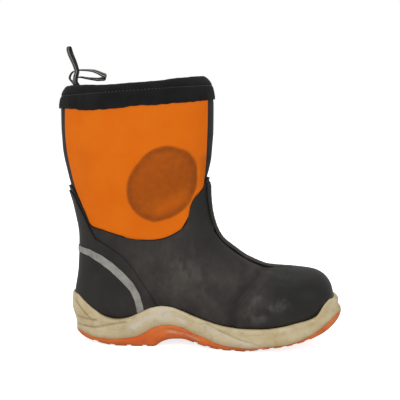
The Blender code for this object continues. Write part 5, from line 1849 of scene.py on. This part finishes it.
tread_rows = [(tread_inset(share), tread_height(share)) for share in np.linspace(0.0, 1.0, 16)]
tread_mesh = sole_solid(tread_rows, 40)
tread = finish_piece("orange_tread", tread_mesh, "outsole")


def groove_bar(mesh, share, sweep, width, depth, shortening):
    """A chevron bar under the sole: two arms that sweep back from its middle."""
    x = share * SOLE_LENGTH
    lateral = -float(plan_half("lateral", x)) + shortening
    medial = float(plan_half("medial", x)) - shortening
    slope = float(sole_height("tread", x + 0.002) - sole_height("tread", x - 0.002)) / 0.004
    back = -math.tan(math.radians(sweep))
    made = bmesh.ops.create_grid(mesh, x_segments=1, y_segments=2, size=0.5)
    for vert in made["verts"]:
        y = (lateral, 0.0, medial)[round((vert.co.y + 0.5) * 2.0)]
        forward = back * abs(y) + vert.co.x * width
        vert.co = (x + forward, y, float(sole_height("tread", x)) + slope * forward + depth)
        vert.co += Vector(STAND)
    faces = list({face for vert in made["verts"] for face in vert.link_faces})
    drawn = bmesh.ops.extrude_face_region(mesh, geom=faces, use_keep_orig=True)
    moved = [item for item in drawn["geom"] if isinstance(item, bmesh.types.BMVert)]
    bmesh.ops.translate(mesh, verts=moved, vec=(0.0, 0.0, -0.03))


for cut_name, wide, deep, short in (("notches", 1.0, NOTCH_DEPTH, NOTCH_REACH),
                                    ("grooves", 0.8, GROOVE_DEPTH, GROOVE_REACH)):
    bars = bmesh.new()
    for share, sweep in GROOVE_ROWS:
        groove_bar(bars, share, sweep, GROOVE_WIDTH * wide, deep, short)
    bmesh.ops.recalc_face_normals(bars, faces=bars.faces)
    apply_cut(tread, bars, cut_name)
tread_edge = tread.modifiers.new("edge", "BEVEL")
tread_edge.width = 0.5 * MM
tread_edge.segments = 2
tread_edge.limit_method = "ANGLE"
tread_edge.angle_limit = math.radians(50.0)
tread.data.shade_smooth()
tread.data.materials.clear()
tread.data.materials.append(orange_rubber)
sole_grime_and_painted_light(tread, "tread", 0.5)

# %% [markdown]
# ### The footbed
#
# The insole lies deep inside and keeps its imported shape. It only gets its cloth, with a weave read
# from the place in space, because this piece has no map of its own.

# %% Footbed
footbed_cloth, cloth_tree, cloth_shader = new_material("grey_footbed_cloth", "#45464A", 0.9)
weave = object_noise(cloth_tree, 1.0 / (1.2 * MM), 2.0)
cloth_colour = mixed(cloth_tree, weave, "#3B3C40", "#56575B")
cloth_tree.links.new(cloth_colour, cloth_shader.inputs["Base Color"])
bumped(cloth_tree, cloth_shader, weave, 0.3 * MM)
footbed = next(item for item in bpy.data.objects if item.name == "insole")
footbed.data.materials.clear()
footbed.data.materials.append(footbed_cloth)
print("footbed:", footbed.name)

# %% Light levels
SEEN_WHITE = 1.0
SURROUND_LIGHT = 0.5
FLOOR_LIFT = 0.8
LIGHTS = (
    ("key_light", (-0.9, -1.6, 1.5), 1.2, 12.0),
    ("fill_light", (1.5, -1.3, 1.0), 1.4, 5.0),
    ("top_light", (0.0, 0.2, 2.0), 1.6, 8.0),
)

# %% [markdown]
# ## Floor and light
#
# A product photo on white: one large soft light from the upper left and front, and weaker ones from
# the right and above. The camera sees a fully white surround, but only half of that light falls on
# the boot, so dark rubber stays dark. The floor is lifted to white for the camera in the same way,
# and keeps a faint shadow under the sole.

# %% Floor and light
floor_mesh = bmesh.new()
bmesh.ops.create_grid(floor_mesh, x_segments=1, y_segments=1, size=6.0)
floor_data = bpy.data.meshes.new("floor")
floor_mesh.to_mesh(floor_data)
floor_mesh.free()
floor = bpy.data.objects.new("floor", floor_data)
bpy.context.scene.collection.objects.link(floor)
floor_paint, floor_tree, floor_shader = new_material("white_studio_floor", "#F7F7F6", 0.9)
floor_data.materials.append(floor_paint)
seen = add_node(floor_tree, "ShaderNodeLightPath").outputs["Is Camera Ray"]
lift = ranged(floor_tree, seen, 0.0, 1.0, 0.0, FLOOR_LIFT)
floor_tree.links.new(lift, floor_shader.inputs["Emission Strength"])
floor_shader.inputs["Emission Color"].default_value = (1.0, 1.0, 1.0, 1.0)

world = bpy.data.worlds.new("white_surround")
bpy.context.scene.world = world
world.use_nodes = True
world.node_tree.nodes["Background"].inputs["Color"].default_value = (1.0, 1.0, 1.0, 1.0)
seen = add_node(world.node_tree, "ShaderNodeLightPath").outputs["Is Camera Ray"]
strength = ranged(world.node_tree, seen, 0.0, 1.0, SURROUND_LIGHT, SEEN_WHITE)
world.node_tree.links.new(strength, world.node_tree.nodes["Background"].inputs["Strength"])

for name, place, size, power in LIGHTS:
    lamp = bpy.data.lights.new(name, "AREA")
    lamp.shape = "SQUARE"
    lamp.size = size
    lamp.energy = power
    light = bpy.data.objects.new(name, lamp)
    light.location = place
    aim = Vector((0.0, 0.0, 0.14)) - Vector(place)
    light.rotation_euler = aim.to_track_quat("-Z", "Y").to_euler()
    bpy.context.scene.collection.objects.link(light)

# %% Update the view layer
bpy.context.view_layer.update()
